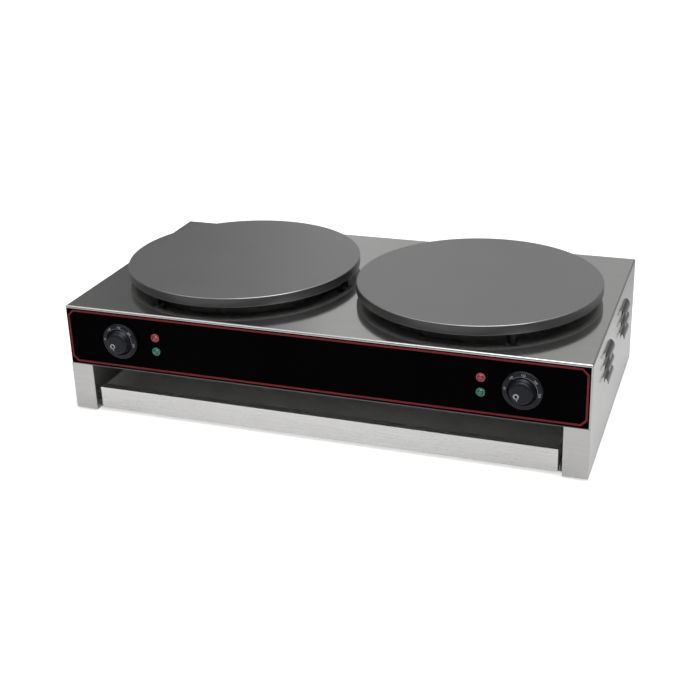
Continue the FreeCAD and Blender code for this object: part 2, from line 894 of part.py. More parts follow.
def make_drawer_front():
    """Folded front: face, top hem standing a little proud, and a flange back to grip behind."""
    body = new_body("drawer_front")
    low = f"({tray_bottom} - front_drop)"
    high = f"({low} + front_height)"
    back = f"({drawer_face} + front_flange)"
    sketch = new_sketch(body, "section", "YZ_Plane")
    corners = [
        (drawer_face, low),
        (drawer_face, f"{high} - front_hem"),
        (f"{drawer_face} - hem_proud", f"{high} - front_hem"),
        (f"{drawer_face} - hem_proud", high),
        (back, high),
        (back, f"{high} - thin_gauge"),
        (f"{drawer_face} + thin_gauge", f"{high} - thin_gauge"),
        (f"{drawer_face} + thin_gauge", low),
    ]
    outline(sketch, corners)
    face = pad(body, sketch, "2 * front_half", both_ways=True)
    corner_level = value(low)
    fillet(body, face, "tray_corner", lambda p: abs(abs(p.x) - value("front_half")) < 0.01
           and abs(p.z - corner_level) < 0.01)
    return body


def make_drawer_stops():
    """Angle tabs on the tray's sides that meet the backs of the legs when the drawer is out."""
    tabs = []
    for side in sides.values():
        along = f"({front} + gauge + stop_setback)"
        level = f"{tray_bottom} + stop_level"
        ear = block("stop_ear", "stop_gauge", "stop_height",
                    (f"{side} * (tray_half + stop_ear / 2)", f"{along} + stop_gauge / 2", level))
        foot = block("stop_gauge", "stop_foot", "stop_height",
                     (f"{side} * (tray_half + stop_gauge / 2)", f"{along} + stop_foot / 2", level))
        tabs.append(fused([ear, foot]))
    return group("drawer_stops", tabs)


def make_drawer_rivets():
    """Low rivet heads inside the tray that hold its front."""
    rivets = []
    for step in range(rivet_count):
        across = f"({step} * 2 / ({rivet_count} - 1) - 1) * (tray_half - rivet_inset)"
        seat = (across, f"{tray_front} + thin_gauge", f"{tray_bottom} + rivet_level")
        rivets.append(cone("rivet_radius", "rivet_radius * 2 / 3", "rivet_rise", seat, "+Y"))
    return group("drawer_rivets", rivets)


# Hot plates and what is under them

def make_hot_plate(name, side):
    """Cast griddle plate with a machined top, a rim, three support bosses and a middle boss."""
    body = new_body(f"hot_plate_{name}")
    hollow = "(plate_thickness - plate_web)"
    sketch = new_sketch(body, "section", "XZ_Plane")
    corners = [
        ("0", "-middle_drop"),
        ("middle_boss", "-middle_drop"),
        ("middle_boss", hollow),
        ("plate_radius - rim_width", hollow),
        ("plate_radius - rim_width", "0"),
        ("plate_radius - plate_edge", "0"),
        ("plate_radius", "plate_edge"),
        ("plate_radius", "plate_thickness - plate_edge"),
        ("plate_radius - plate_edge", "plate_thickness"),
        ("0", "plate_thickness"),
    ]
    outline(sketch, corners)
    revolve(body, sketch)

    across, along = support_places(side)[0]
    sketch = new_sketch(body, "boss", "XY_Plane")
    circle(sketch, across, along, "boss_radius")
    boss = pad(body, sketch, f"{hollow} + cut_over")
    sketch = new_sketch(body, "boss_hole", "XY_Plane", "-cut_over")
    circle(sketch, across, along, "plate_screw + running_gap")
    hole = pocket(body, sketch, "plate_thickness - plate_skin + cut_over", backwards=True)
    polar(body, [boss, hole], 3)

    sketch = new_sketch(body, "middle_hole", "XY_Plane", "-middle_drop - cut_over")
    circle(sketch, "0", "0", "pan_bolt + running_gap")
    pocket(body, sketch, "plate_thickness - plate_skin + middle_drop + cut_over", backwards=True)
    place(body, f"{side} * plate_spacing / 2", "0", plate_bottom)
    return body


def make_element(name, side):
    """Tubular element in one bend: outer ring, hairpin, inner ring and two legs down."""
    outer = value("outer_ring")
    inner = value("inner_ring")
    bend = value("element_bend")
    first = math.radians(value("ring_start"))
    last = first + math.radians(value("ring_span"))
    centre = Vector(value(f"{side} * plate_spacing / 2"), 0, value(element_middle))

    def on_ring(radius, angle):
        return centre + Vector(radius * math.cos(angle), radius * math.sin(angle), 0)

    def leg_bend(radius):
        """Quarter bend from a vertical leg into a ring, as its low, middle and ring ends."""
        ring_end = on_ring(radius, first)
        inward = Vector(math.sin(first), -math.cos(first), 0) * bend
        low = ring_end + inward + Vector(0, 0, -bend)
        quarter = math.cos(math.radians(45))
        middle = ring_end + inward * quarter + Vector(0, 0, -bend * (1 - quarter))
        return low, middle, ring_end

    hairpin_middle = on_ring((outer + inner) / 2, last)
    ahead = Vector(-math.sin(last), math.cos(last), 0) * ((outer - inner) / 2)
    low_out, bend_out, start = leg_bend(outer)
    low_in, bend_in, finish = leg_bend(inner)
    drop = Vector(0, 0, -value("element_leg"))
    half_way = (first + last) / 2
    edges = [
        Part.LineSegment(low_out + drop, low_out),
        Part.Arc(low_out, bend_out, start),
        Part.Arc(start, on_ring(outer, half_way), on_ring(outer, last)),
        Part.Arc(on_ring(outer, last), hairpin_middle + ahead, on_ring(inner, last)),
        Part.Arc(on_ring(inner, last), on_ring(inner, half_way), finish),
        Part.Arc(finish, bend_in, low_in),
        Part.LineSegment(low_in, low_in + drop),
    ]
    path = Part.Wire([edge.toShape() for edge in edges])
    return shaped(f"heating_element_{name}", swept_tube(path, value("element_radius")))


def pan_holes(sketch, side, middle):
    """Holes under a plate for the element legs, the middle bolt and the capillary."""
    for across, along in leg_places():
        circle(sketch, across, along, "leg_opening")
    circle(sketch, "0", "0", middle)
    across, along = capillary_place(side)
    circle(sketch, across, along, "capillary_hole")


def make_reflector(name, side):
    """Dished steel pan that holds the element up against the plate."""
    body = new_body(f"reflector_{name}")
    sketch = new_sketch(body, "section", "XZ_Plane")
    corners = [
        ("0", "-thin_gauge"),
        ("pan_radius - thin_gauge", "-thin_gauge"),
        ("pan_radius - thin_gauge", "-pan_depth"),
        ("pan_radius", "-pan_depth"),
        ("pan_radius", "0"),
        ("0", "0"),
    ]
    outline(sketch, corners)
    revolve(body, sketch)
    sketch = new_sketch(body, "holes", "XY_Plane")
    pan_holes(sketch, side, "pan_bolt + hole_slack")
    pocket(body, sketch, "thin_gauge + cut_over")
    place(body, f"{side} * plate_spacing / 2", "0", pan_top)
    return body


def make_insulation(name, side):
    """Ceramic fibre disc between the pan and the hood's top."""
    body = new_body(f"insulation_{name}")
    sketch = new_sketch(body, "disc", "XY_Plane")
    circle(sketch, "0", "0", "pan_radius - thin_gauge - insulation_inset")
    pan_holes(sketch, side, "bolt_opening")
    pad(body, sketch, f"{pan_top} - thin_gauge - {body_top} - 2 * insulation_gap")
    place(body, f"{side} * plate_spacing / 2", "0", f"{body_top} + insulation_gap")
    return body


def make_pan_bolts():
    bolts = []
    for side in sides.values():
        seat = (f"{side} * plate_spacing / 2", "0", f"{pan_top} - thin_gauge")
        bolts.append(screw(seat, "+Z", "pan_bolt", "pan_bolt_length",
                           head="pan_bolt_head", head_height="pan_bolt_rise"))
    return group("pan_bolts", bolts)


def all_supports(level):
    """Every support's place, both plates' together, at one height."""
    return [(f"{side} * plate_spacing / 2 + {across}", along, level)
            for side in sides.values() for across, along in support_places(side)]


def make_standoffs():
    spacers = []
    for at in all_supports(body_top):
        outside = cylinder("standoff_radius", "plate_gap", at)
        hole = cylinder("plate_screw + hole_slack", "plate_gap + 2 * cut_over", shift(at, "-Z", "cut_over"))
        spacers.append(cut(outside, hole))
    return group("standoffs", spacers)


def make_plate_screws():
    seats = all_supports(f"{body_top} - gauge")
    length = "plate_gap + gauge + plate_screw_grip"
    return group("plate_screws", [screw(seat, "+Z", "plate_screw", length) for seat in seats])


# Controls

def stand_on_panel(body, side, level, turn="0"):
    """Point a piece's own Z out of the panel, turned about it, at one side's dial or lamp."""
    about_axis = FreeCAD.Rotation(Vector(0, 0, 1), value(turn))
    body.Placement = FreeCAD.Placement(Vector(), toward["-Y"] * about_axis)
    place(body, side, panel_face, level)


def make_thermostat(name, side):
    """Thermostat body on its mounting plate, with three tab terminals at the back."""
    dial = f"{side} * dial_spacing / 2"
    inner_front = f"({front} + gauge)"
    case_front = f"({inner_front} + thin_gauge)"
    mounting = block("mounting_width", "thin_gauge", "mounting_height",
                     (dial, f"{inner_front} + thin_gauge / 2", "dial_height - mounting_height / 2"))
    case = block("case_width", "case_length", "case_height",
                 (dial, f"{case_front} + case_length / 2", "dial_height - case_height / 2"))
    tabs = [block("tab_thickness", "tab_length", "tab_width",
                  (f"{dial} + {step} * tab_pitch", f"{case_front} + case_length + tab_length / 2",
                   "dial_height - tab_drop - tab_width / 2"))
            for step in (-1, 0, 1)]
    holes = [cylinder("spindle_radius + running_gap", "spindle_inside + cut_over",
                      (dial, f"{inner_front} - cut_over", "dial_height"), "+Y")]
    for hand in (-1, 1):
        mouth = (f"{dial} + {hand} * dial_screw", f"{inner_front} - cut_over", "dial_height")
        holes.append(cylinder(screw_tight, "thermostat_screw + 2 * cut_over", mouth, "+Y"))
    return cut(fused([mounting, case] + tabs), fused(holes), f"thermostat_{name}")


def make_thermostat_screws():
    """Screws through the dial's floor, the panel and the hood into the thermostats."""
    seats = [(f"{side} * dial_spacing / 2 + {hand} * dial_screw", f"{panel_face} - dial_floor", "dial_height")
             for side in sides.values() for hand in (-1, 1)]
    length = "dial_floor + panel_gauge + gauge + thermostat_screw"
    head = ("dial_screw_head", "dial_screw_rise")
    return group("thermostat_screws", [screw(seat, "+Y", "small_screw", length, *head) for seat in seats])


def make_spindle(name, side):
    """Thermostat spindle with a flat on its outer end, which turns with the knob."""
    body = new_body(f"spindle_{name}")
    inner_end = "(panel_gauge + gauge + spindle_inside - slide_gap)"
    outer_end = "(knob_front - knob_skin - slide_gap)"
    sketch = new_sketch(body, "rod", "XY_Plane", f"-{inner_end}")
    circle(sketch, "0", "0", "spindle_radius")
    pad(body, sketch, f"{inner_end} + {outer_end}")
    sketch = new_sketch(body, "flat", "XY_Plane", outer_end)
    rectangle(sketch, "-spindle_radius - cut_over", "spindle_flat",
              "spindle_radius + cut_over", "spindle_radius + cut_over")
    pocket(body, sketch, f"{outer_end} - knob_gap + slide_gap")
    stand_on_panel(body, f"{side} * dial_spacing / 2", "dial_height", "knob_rest")
    return body


def make_dial_ring(name, side):
    """Fixed dial round the knob: a shallow cup whose broad rim carries the scale."""
    body = new_body(f"dial_ring_{name}")
    cup = "(knob_diameter / 2 + cup_gap)"
    edge = "(dial_diameter / 2)"
    sketch = new_sketch(body, "section", "XZ_Plane")
    corners = [
        ("spindle_hole", "0"),
        (edge, "0"),
        (edge, "dial_edge"),
        (f"{edge} - dial_shoulder", "dial_depth - knob_bevel"),
        (cup, "dial_depth"),
        (cup, "dial_floor"),
        ("spindle_hole", "dial_floor"),
    ]
    outline(sketch, corners, {2: "-dial_round"})
    revolve(body, sketch)
    sketch = new_sketch(body, "screw_holes", "XY_Plane", "-cut_over")
    for hand in (-1, 1):
        circle(sketch, f"{hand} * dial_screw", "0", screw_clear)
    pocket(body, sketch, "dial_floor + 2 * cut_over", backwards=True)
    stand_on_panel(body, f"{side} * dial_spacing / 2", "dial_height")
    return body


def make_knob(name, side):
    """Round knob that tapers from its foot in the cup to a flat front face."""
    body = new_body(f"knob_{name}")
    radius = "(knob_diameter / 2)"
    sketch = new_sketch(body, "section", "XZ_Plane")
    corners = [
        ("0", "knob_gap"),
        (f"{radius} - knob_bevel", "knob_gap"),
        (radius, "knob_gap + knob_bevel"),
        ("knob_face + knob_round", "knob_front - knob_round"),
        ("knob_face", "knob_front"),
        ("0", "knob_front"),
    ]
    outline(sketch, corners, {3: "-knob_round"})
    revolve(body, sketch)

    sketch = new_sketch(body, "spindle_hole", "XY_Plane", "knob_gap - cut_over")
    fit = "(spindle_radius + running_gap)"
    flat = "(spindle_flat + running_gap)"
    chord = f"sqrt({fit}^2 - {flat}^2)"
    outline(sketch, [(f"-{chord}", flat), (chord, flat), ("0", f"-{fit}")], {1: fit, 2: fit})
    pocket(body, sketch, "knob_front - knob_skin - knob_gap + cut_over", backwards=True)
    stand_on_panel(body, f"{side} * dial_spacing / 2", "dial_height", "knob_rest")
    return body


def lamp_level(colour):
    return f"(dial_height + {lamp_colours[colour]} * lamp_pitch / 2)"


def make_lamp_holder(name, side, colour):
    """Pilot lamp body: a barrel through the panel with a bezel in front."""
    body = new_body(f"lamp_holder_{colour}_{name}")
    sketch = new_sketch(body, "section", "XZ_Plane")
    socket = "(lens_radius + running_gap)"
    corners = [
        ("0", "-lamp_barrel"),
        ("lamp_radius", "-lamp_barrel"),
        ("lamp_radius", "0"),
        ("bezel_radius", "0"),
        ("bezel_radius", "bezel_depth - bezel_bevel"),
        ("bezel_radius - bezel_bevel", "bezel_depth"),
        (socket, "bezel_depth"),
        (socket, "-lens_seat"),
        ("0", "-lens_seat"),
    ]
    outline(sketch, corners)
    revolve(body, sketch)
    stand_on_panel(body, f"{side} * lamp_spacing / 2", lamp_level(colour))
    return body


def make_lamp_lens(name, side, colour):
    body = new_body(f"lamp_lens_{colour}_{name}")
    sketch = new_sketch(body, "section", "XZ_Plane")
    corners = [
        ("0", "-lens_seat + running_gap"),
        ("lens_radius", "-lens_seat + running_gap"),
        ("lens_radius", "bezel_depth - lens_sunk"),
        ("0", "bezel_depth - lens_sunk + lens_rise"),
    ]
    outline(sketch, corners, {2: "-(lens_radius^2 + lens_rise^2) / (2 * lens_rise)"})
    revolve(body, sketch)
    stand_on_panel(body, f"{side} * lamp_spacing / 2", lamp_level(colour))
    return body


def make_lamp_nuts():
    nuts = [nut((f"{side} * lamp_spacing / 2", f"{front} + gauge", lamp_level(colour)),
                "+Y", "lamp_radius", "lamp_nut_height", "lamp_nut")
            for side in sides.values() for colour in lamp_colours]
    return group("lamp_nuts", nuts)


# Supply side and wiring

def make_cable_gland(name, side):
    """Supply cable gland: threaded barrel through the rear panel, hexagon and tapered dome."""
    at = (f"{side} * gland_spacing / 2", rear_face, "gland_height")
    hexagon = prism(6, "gland_hex", "gland_hex_length", at, "+Y")
    dome = cone("gland_shoulder", "gland_nose", f"{gland_reach} - gland_hex_length",
                shift(at, "+Y", "gland_hex_length"), "+Y")
    barrel = cylinder("gland_barrel", "gland_barrel_length", shift(at, "-Y", "gland_barrel_length"), "+Y")
    bore = cylinder("gland_bore", f"{gland_reach} + gland_barrel_length + 2 * cut_over",
                    shift(at, "-Y", "gland_barrel_length + cut_over"), "+Y")
    return cut(fused([hexagon, dome, barrel]), bore, f"cable_gland_{name}")


def make_gland_nuts():
    nuts = []
    for side in sides.values():
        face = (f"{side} * gland_spacing / 2", rear, "gland_height")
        nuts.append(nut(face, "-Y", "gland_barrel", "nut_length", "gland_nut"))
    return group("gland_nuts", nuts)


def make_bonding_stud():
    """Stud for an earth bonding wire: hexagon collar outside the rear panel and a free end."""
    at = ("0", rear_face, "stud_height")
    collar = prism(6, "stud_hex", "stud_collar", at, "+Y")
    free_end = cylinder("stud_radius", "stud_free", shift(at, "+Y", "stud_collar"), "+Y")
    shank = cylinder("stud_radius", "stud_inside", shift(at, "-Y", "stud_inside"), "+Y")
    return fused([collar, free_end, shank], "bonding_stud")


def make_bonding_nut():
    bundle = nut(("0", rear, "stud_height"), "-Y", "stud_radius", "nut_length", "stud_hex")
    bundle.Label = "bonding_nut"
    return bundle


def make_terminal_block(name, side):
    """Three-way ceramic block with barriers between its ways, on the deck."""
    middle = f"{side} * block_spacing / 2"
    base = block("block_length", "block_width", "block_height", (middle, "block_place", deck_top))
    walls = [block("barrier_width", "block_width", "barrier_height",
                   (f"{middle} + ({step} - 3 / 2) * way_pitch", "block_place", f"{deck_top} + block_height"))
             for step in range(4)]
    return fused([base] + walls, f"terminal_block_{name}")


def make_terminal_screws():
    heads = []
    for side in sides.values():
        for way in (-1, 0, 1):
            for end in (-1, 1):
                at = (f"{side} * block_spacing / 2 + {way} * way_pitch",
                      f"block_place + {end} * terminal_spread", f"{deck_top} + block_height")
                heads.append(cone("terminal_screw", "terminal_screw - screw_sunk", "terminal_rise", at))
    return group("terminal_screws", heads)


def point(across, along, up):
    return Vector(value(across), value(along), value(up))


def make_leads(name, side):
    """Four wires: block to thermostat, thermostat to element, element to block, lamp to block."""
    dial = f"{side} * dial_spacing / 2"
    centre = f"{side} * plate_spacing / 2"
    middle = f"{side} * block_spacing / 2"
    lamp = f"{side} * lamp_spacing / 2"
    tab_end = f"({front} + gauge + thin_gauge + case_length + tab_length + lead_gap)"
    tab_level = "(dial_height - tab_drop)"
    block_front = "(block_place - block_width / 2 - lead_gap)"
    low = f"({deck_top} + lead_level)"
    (outer_x, outer_y), (inner_x, inner_y) = leg_places()
    leg_end = f"({element_middle} - element_bend - element_leg - lead_gap)"
    lamp_end = f"{panel_face} + lamp_barrel + lead_gap"
    routes = [
        [
            (f"{middle} - way_pitch", block_front, low),
            (f"{middle} - way_pitch", "lead_front", low),
            (f"{dial} - tab_pitch", "lead_turn", tab_level),
            (f"{dial} - tab_pitch", tab_end, tab_level),
        ],
        [
            (f"{dial} + tab_pitch", tab_end, tab_level),
            (f"{dial} + tab_pitch", "lead_turn", tab_level),
            (f"{centre} + {outer_x}", f"{outer_y} - lead_slack", "lead_upper"),
            (f"{centre} + {outer_x}", outer_y, "lead_upper"),
            (f"{centre} + {outer_x}", outer_y, leg_end),
        ],
        [
            (middle, block_front, low),
            (middle, f"{block_front} - lead_straight", low),
            (f"{centre} + {inner_x}", inner_y, low),
            (f"{centre} + {inner_x}", inner_y, leg_end),
        ],
        [
            (lamp, lamp_end, lamp_level("green")),
            (lamp, "lamp_lead_front", lamp_level("green")),
            (f"{middle} + way_pitch", "lamp_lead_rear", low),
            (f"{middle} + way_pitch", block_front, low),
        ],
    ]
    wires = []
    for number, route in enumerate(routes, start=1):
        path = bent_path([point(*corner) for corner in route], value("lead_bend"))
        wires.append(shaped(f"lead_{number}_{name}", swept_tube(path, value("lead_radius"))))
    return group(f"leads_{name}", wires)


def make_sensor(name, side):
    """Thermostat bulb under the plate and its capillary down to the thermostat."""
    centre = f"{side} * plate_spacing / 2"
    level = f"({web_bottom} - sensor_radius - 2 * running_gap)"
    across, along = capillary_place(side)
    dial = f"{side} * dial_spacing / 2"
    half = value("sensor_length / 2")
    middle = point(centre, "-sensor_offset", level)
    bulb = Part.makeCylinder(value("sensor_radius"), 2 * half, middle - Vector(half, 0, 0), Vector(1, 0, 0))
    path = bent_path([
        middle + Vector(side * (half - value("cut_over")), 0, 0),
        point(f"{centre} + {across}", along, level),
        point(f"{centre} + {across}", along, "capillary_level"),
        point(dial, "capillary_end", "capillary_level"),
        point(dial, "capillary_end", "dial_height + case_height / 2 + lead_gap"),
    ], value("capillary_bend"))
    return shaped(f"sensor_{name}", bulb.fuse(swept_tube(path, value("capillary_radius"))))


pieces = [
    make_hood(),
    make_control_panel(),
    make_rear_panel(),
    make_deck_plate(),
    make_rear_skirt(),
    make_drawer_tray(),
    make_drawer_front(),
    make_drawer_stops(),
    make_drawer_rivets(),
    make_feet(),
    make_foot_fasteners(),
    make_base_screws(),
    make_deck_screws(),
    make_rear_screws(),
    make_standoffs(),
    make_plate_screws(),
    make_pan_bolts(),
    make_thermostat_screws(),
    make_lamp_nuts(),
    make_gland_nuts(),
    make_bonding_stud(),
    make_bonding_nut(),
    make_terminal_screws(),
]
paired = [
    make_skirt,
    make_rail,
    make_hot_plate,
    make_element,
    make_reflector,
    make_insulation,
    make_thermostat,
    make_spindle,
    make_dial_ring,
    make_knob,
    make_sensor,
    make_cable_gland,
    make_terminal_block,
    make_leads,
]
for name, side in sides.items():
    pieces += [make(name, side) for make in paired]
    for colour in lamp_colours:
        pieces.append(make_lamp_holder(name, side, colour))
        pieces.append(make_lamp_lens(name, side, colour))

doc.recompute()

faults = [thing.Name for thing in doc.Objects if "Invalid" in thing.State or "Error" in thing.State]
faults += [piece.Label for piece in pieces if piece.Shape.isNull() or not piece.Shape.isValid()]
if faults:
    raise ValueError(f"not built: {', '.join(faults)}")

os.makedirs("parts", exist_ok=True)
for piece in pieces:
    piece.Shape.exportStep(f"parts/{piece.Label}.step")
    solids = len(piece.Shape.Solids)
    print(f"{piece.Label}: {solids} solid{'s' if solids > 1 else ''}, {piece.Shape.Volume / 1000:.1f} cm3")
print(f"{len(pieces)} pieces")
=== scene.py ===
import json
import math
import bpy
import bmesh
from mathutils import Matrix, Vector


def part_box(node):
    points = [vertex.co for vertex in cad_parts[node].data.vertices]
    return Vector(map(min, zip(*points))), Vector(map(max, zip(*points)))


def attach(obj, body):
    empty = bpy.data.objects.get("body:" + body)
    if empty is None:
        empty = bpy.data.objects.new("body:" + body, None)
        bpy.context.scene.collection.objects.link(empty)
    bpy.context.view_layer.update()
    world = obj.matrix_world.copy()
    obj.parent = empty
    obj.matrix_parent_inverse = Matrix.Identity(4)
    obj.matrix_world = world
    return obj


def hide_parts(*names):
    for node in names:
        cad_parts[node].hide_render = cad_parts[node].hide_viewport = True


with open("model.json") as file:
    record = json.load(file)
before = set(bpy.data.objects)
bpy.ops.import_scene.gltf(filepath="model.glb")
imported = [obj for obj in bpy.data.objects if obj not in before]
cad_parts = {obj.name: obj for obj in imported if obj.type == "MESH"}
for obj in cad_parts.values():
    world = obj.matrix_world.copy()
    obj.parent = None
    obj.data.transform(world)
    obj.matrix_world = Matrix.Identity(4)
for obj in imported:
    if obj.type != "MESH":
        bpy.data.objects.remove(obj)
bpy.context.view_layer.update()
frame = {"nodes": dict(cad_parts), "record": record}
sides = {"left": -1, "right": 1}
fullTurn = 2 * math.pi
print("frame loaded:", len(frame["nodes"]), "nodes")


# Node helpers

mixSockets = {"RGBA": (6, 7, 2), "VECTOR": (4, 5, 1), "FLOAT": (2, 3, 0)}  # first, second, result


def addNode(tree, kind, **settings):
    node = tree.nodes.new("ShaderNode" + kind)
    for key, setting in settings.items():
        setattr(node, key, setting)
    return node


def plug(tree, source, socket):
    if isinstance(source, bpy.types.NodeSocket):
        tree.links.new(source, socket)
    else:
        socket.default_value = source


# Adds a node, fills its sockets in their order and gives back one of its outputs.
def fed(tree, kind, *sources, out=0, **settings):
    node = addNode(tree, kind, **settings)
    for source, socket in zip(sources, node.inputs):
        plug(tree, source, socket)
    return node.outputs[out]


def mixed(tree, kind, factor, first, second, **settings):
    mix = addNode(tree, "Mix", data_type=kind, **settings)
    firstSocket, secondSocket, result = mixSockets[kind]
    plug(tree, factor, mix.inputs[0])
    plug(tree, first, mix.inputs[firstSocket])
    plug(tree, second, mix.inputs[secondSocket])
    return mix.outputs[result]


def axes(tree, vector):
    parts = addNode(tree, "SeparateXYZ")
    tree.links.new(vector, parts.inputs[0])
    return parts.outputs


def grey(tone):
    return (tone, tone, tone, 1)


def greyRamp(tree, source, tones):
    ramp = addNode(tree, "ValToRGB")
    stops = ramp.color_ramp.elements
    while len(stops) < len(tones):
        stops.new(0.5)  # anywhere, since each stop is placed below
    for stop, (place, tone) in zip(stops, tones):
        stop.position = place
        stop.color = grey(tone)
    tree.links.new(source, ramp.inputs[0])
    return ramp.outputs[0]


def whiteRays(tree, rays):
    path = addNode(tree, "LightPath").outputs
    total = path[rays[0]]
    for ray in rays[1:]:
        total = fed(tree, "Math", total, path[ray], operation="MAXIMUM")
    return total


def newMaterial(name):
    paint = bpy.data.materials.new(name)
    paint.use_nodes = True
    paint.node_tree.nodes.clear()
    return paint, paint.node_tree


def meshObject(name, shape, paint):
    mesh = bpy.data.meshes.new(name)
    shape.to_mesh(mesh)
    shape.free()
    mesh.materials.append(paint)
    made = bpy.data.objects.new(name, mesh)
    bpy.context.scene.collection.objects.link(made)
    return made


def newVerts(made):
    return [part for part in made["geom"] if isinstance(part, bmesh.types.BMVert)]


# Camera

camera = {
    "place": (0.6470, -1.8077, 0.9227),
    "yaw": 20.172,  # degrees, towards the left griddle
    "pitch": 22.24,  # degrees below level
    "level": 90,  # degrees from looking straight down to looking level
    "roll": -1.852,
    "lens": 62.55,
    "sensor": 36,
    "shiftY": -0.0571,
}
view = bpy.data.cameras.new("viewCamera")
view.lens = camera["lens"]
view.sensor_width = camera["sensor"]
view.shift_y = camera["shiftY"]
viewer = bpy.data.objects.new("viewCamera", view)
bpy.context.scene.collection.objects.link(viewer)
turn = Matrix.Rotation(math.radians(camera["yaw"]), 4, "Z")
tip = Matrix.Rotation(math.radians(camera["level"] - camera["pitch"]), 4, "X")
lean = Matrix.Rotation(math.radians(camera["roll"]), 4, "Z")
viewer.matrix_world = Matrix.Translation(camera["place"]) @ turn @ tip @ lean
bpy.context.scene.camera = viewer
bpy.context.scene.view_settings.view_transform = "Standard"


# Sky and floor

studio = {
    "skyStrength": 0.45,
    "floorWidth": 14,
    "floorTone": 0.85,
    "floorGlow": 0.60,  # added for the camera, so the lit floor is white
    "brightSpot": (-0.20, -0.45),  # where reflections see the floor brightest
    "reach": 1.4,
    "tones": [(0.18, 1.0), (0.43, 0.85), (0.67, 0.81), (0.85, 0.57), (1.0, 0.50)],  # by reach
    "lampAim": (0, 0, 0.1),
}
sky = bpy.data.worlds.new("studioSky")
sky.use_nodes = True
skyTree = sky.node_tree
skyTree.nodes.clear()
skyDim = fed(skyTree, "Background", grey(1), studio["skyStrength"])
skyWhite = fed(skyTree, "Background", grey(1), 1)
skyRays = whiteRays(skyTree, ["Is Camera Ray", "Is Glossy Ray", "Is Transmission Ray"])
skyMix = fed(skyTree, "MixShader", skyRays, skyDim, skyWhite)
skyTree.links.new(skyMix, addNode(skyTree, "OutputWorld").inputs["Surface"])
bpy.context.scene.world = sky


def floorFinish():
    paint, tree = newMaterial("floorFinish")
    here = addNode(tree, "TexCoord").outputs["Object"]
    spot = (*studio["brightSpot"], 0)
    away = fed(tree, "VectorMath", here, spot, out="Value", operation="DISTANCE")
    share = fed(tree, "Math", away, studio["reach"], operation="DIVIDE")
    fade = greyRamp(tree, share, studio["tones"])
    reflected = whiteRays(tree, ["Is Glossy Ray", "Is Transmission Ray"])
    tone = mixed(tree, "RGBA", reflected, grey(studio["floorTone"]), fade)
    matte = fed(tree, "BsdfDiffuse", tone)
    seen = whiteRays(tree, ["Is Camera Ray"])
    strength = fed(tree, "Math", seen, studio["floorGlow"], operation="MULTIPLY")
    glow = fed(tree, "Emission", grey(1), strength)
    both = fed(tree, "AddShader", matte, glow)
    tree.links.new(both, addNode(tree, "OutputMaterial").inputs["Surface"])
    return paint


floorShape = bmesh.new()
bmesh.ops.create_grid(floorShape, x_segments=1, y_segments=1, size=studio["floorWidth"] / 2)
floor = meshObject("floor", floorShape, floorFinish())

# A grey wall that only reflections see. Its tones run round from the front by the left end,
# with 0.5 straight behind, so it is darker behind the left griddle and paler to the right.
wall = {
    "radius": 3.5,
    "low": 0.12,
    "high": 3.4,
    "steps": 96,
    "tones": [(0.0, 0.32), (0.37, 0.22), (0.400, 0.145), (0.414, 0.22), (0.424, 0.27),
              (0.4385, 0.54), (0.452, 0.52), (0.478, 0.41), (0.50, 0.46), (0.56, 0.28),
              (0.75, 0.36), (1.0, 0.32)],
}


def wallFinish():
    paint, tree = newMaterial("wallFinish")
    place = axes(tree, addNode(tree, "TexCoord").outputs["Object"])
    bearing = fed(tree, "Math", place["X"], place["Y"], operation="ARCTAN2")
    share = fed(tree, "MapRange", bearing, -math.pi, math.pi)
    glow = fed(tree, "Emission", greyRamp(tree, share, wall["tones"]))
    tree.links.new(glow, addNode(tree, "OutputMaterial").inputs["Surface"])
    return paint


wallShape = bmesh.new()
bmesh.ops.create_circle(wallShape, cap_ends=False, segments=wall["steps"], radius=wall["radius"])
bmesh.ops.translate(wallShape, verts=wallShape.verts, vec=(0, 0, wall["low"]))
risenWall = bmesh.ops.extrude_edge_only(wallShape, edges=wallShape.edges[:])
bmesh.ops.translate(wallShape, verts=newVerts(risenWall), vec=(0, 0, wall["high"] - wall["low"]))
reflectedWall = meshObject("reflectedWall", wallShape, wallFinish())
reflectedWall.visible_camera = False
reflectedWall.visible_diffuse = False
reflectedWall.visible_transmission = False
reflectedWall.visible_shadow = False


# Lights

softboxes = {
    "frontLeft": {"place": (-1.6, -1.7, 2.2), "width": 1.3, "power": 3},
    "frontRight": {"place": (1.9, -1.3, 2.2), "width": 1.2, "power": 12},
    "overhead": {"place": (0.45, -0.3, 2.6), "width": 1.8, "power": 30},
}
for name, box in softboxes.items():
    light = bpy.data.lights.new(name, "AREA")
    light.shape = "SQUARE"
    light.size = box["width"]
    light.energy = box["power"]
    lamp = bpy.data.objects.new(name, light)
    bpy.context.scene.collection.objects.link(lamp)
    aim = Vector(studio["lampAim"]) - Vector(box["place"])
    facing = aim.to_track_quat("-Z", "Y").to_matrix().to_4x4()
    lamp.matrix_world = Matrix.Translation(box["place"]) @ facing
print("camera, floor and lights ready")


# Finishes

def newFinish(name):
    paint, tree = newMaterial(name)
    shader = addNode(tree, "BsdfPrincipled")
    tree.links.new(shader.outputs["BSDF"], addNode(tree, "OutputMaterial").inputs["Surface"])
    return paint, tree, shader


def stretched(tree, source, scale):
    mapping = addNode(tree, "Mapping")
    mapping.inputs["Scale"].default_value = scale
    tree.links.new(source, mapping.inputs["Vector"])
    return mapping.outputs[0]


def cloud(tree, source, scale=1, detail=3, rough=0.55):
    noise = addNode(tree, "TexNoise")
    noise.inputs["Scale"].default_value = scale
    noise.inputs["Detail"].default_value = detail
    noise.inputs["Roughness"].default_value = rough
    tree.links.new(source, noise.inputs["Vector"])
    return noise.outputs["Fac"]


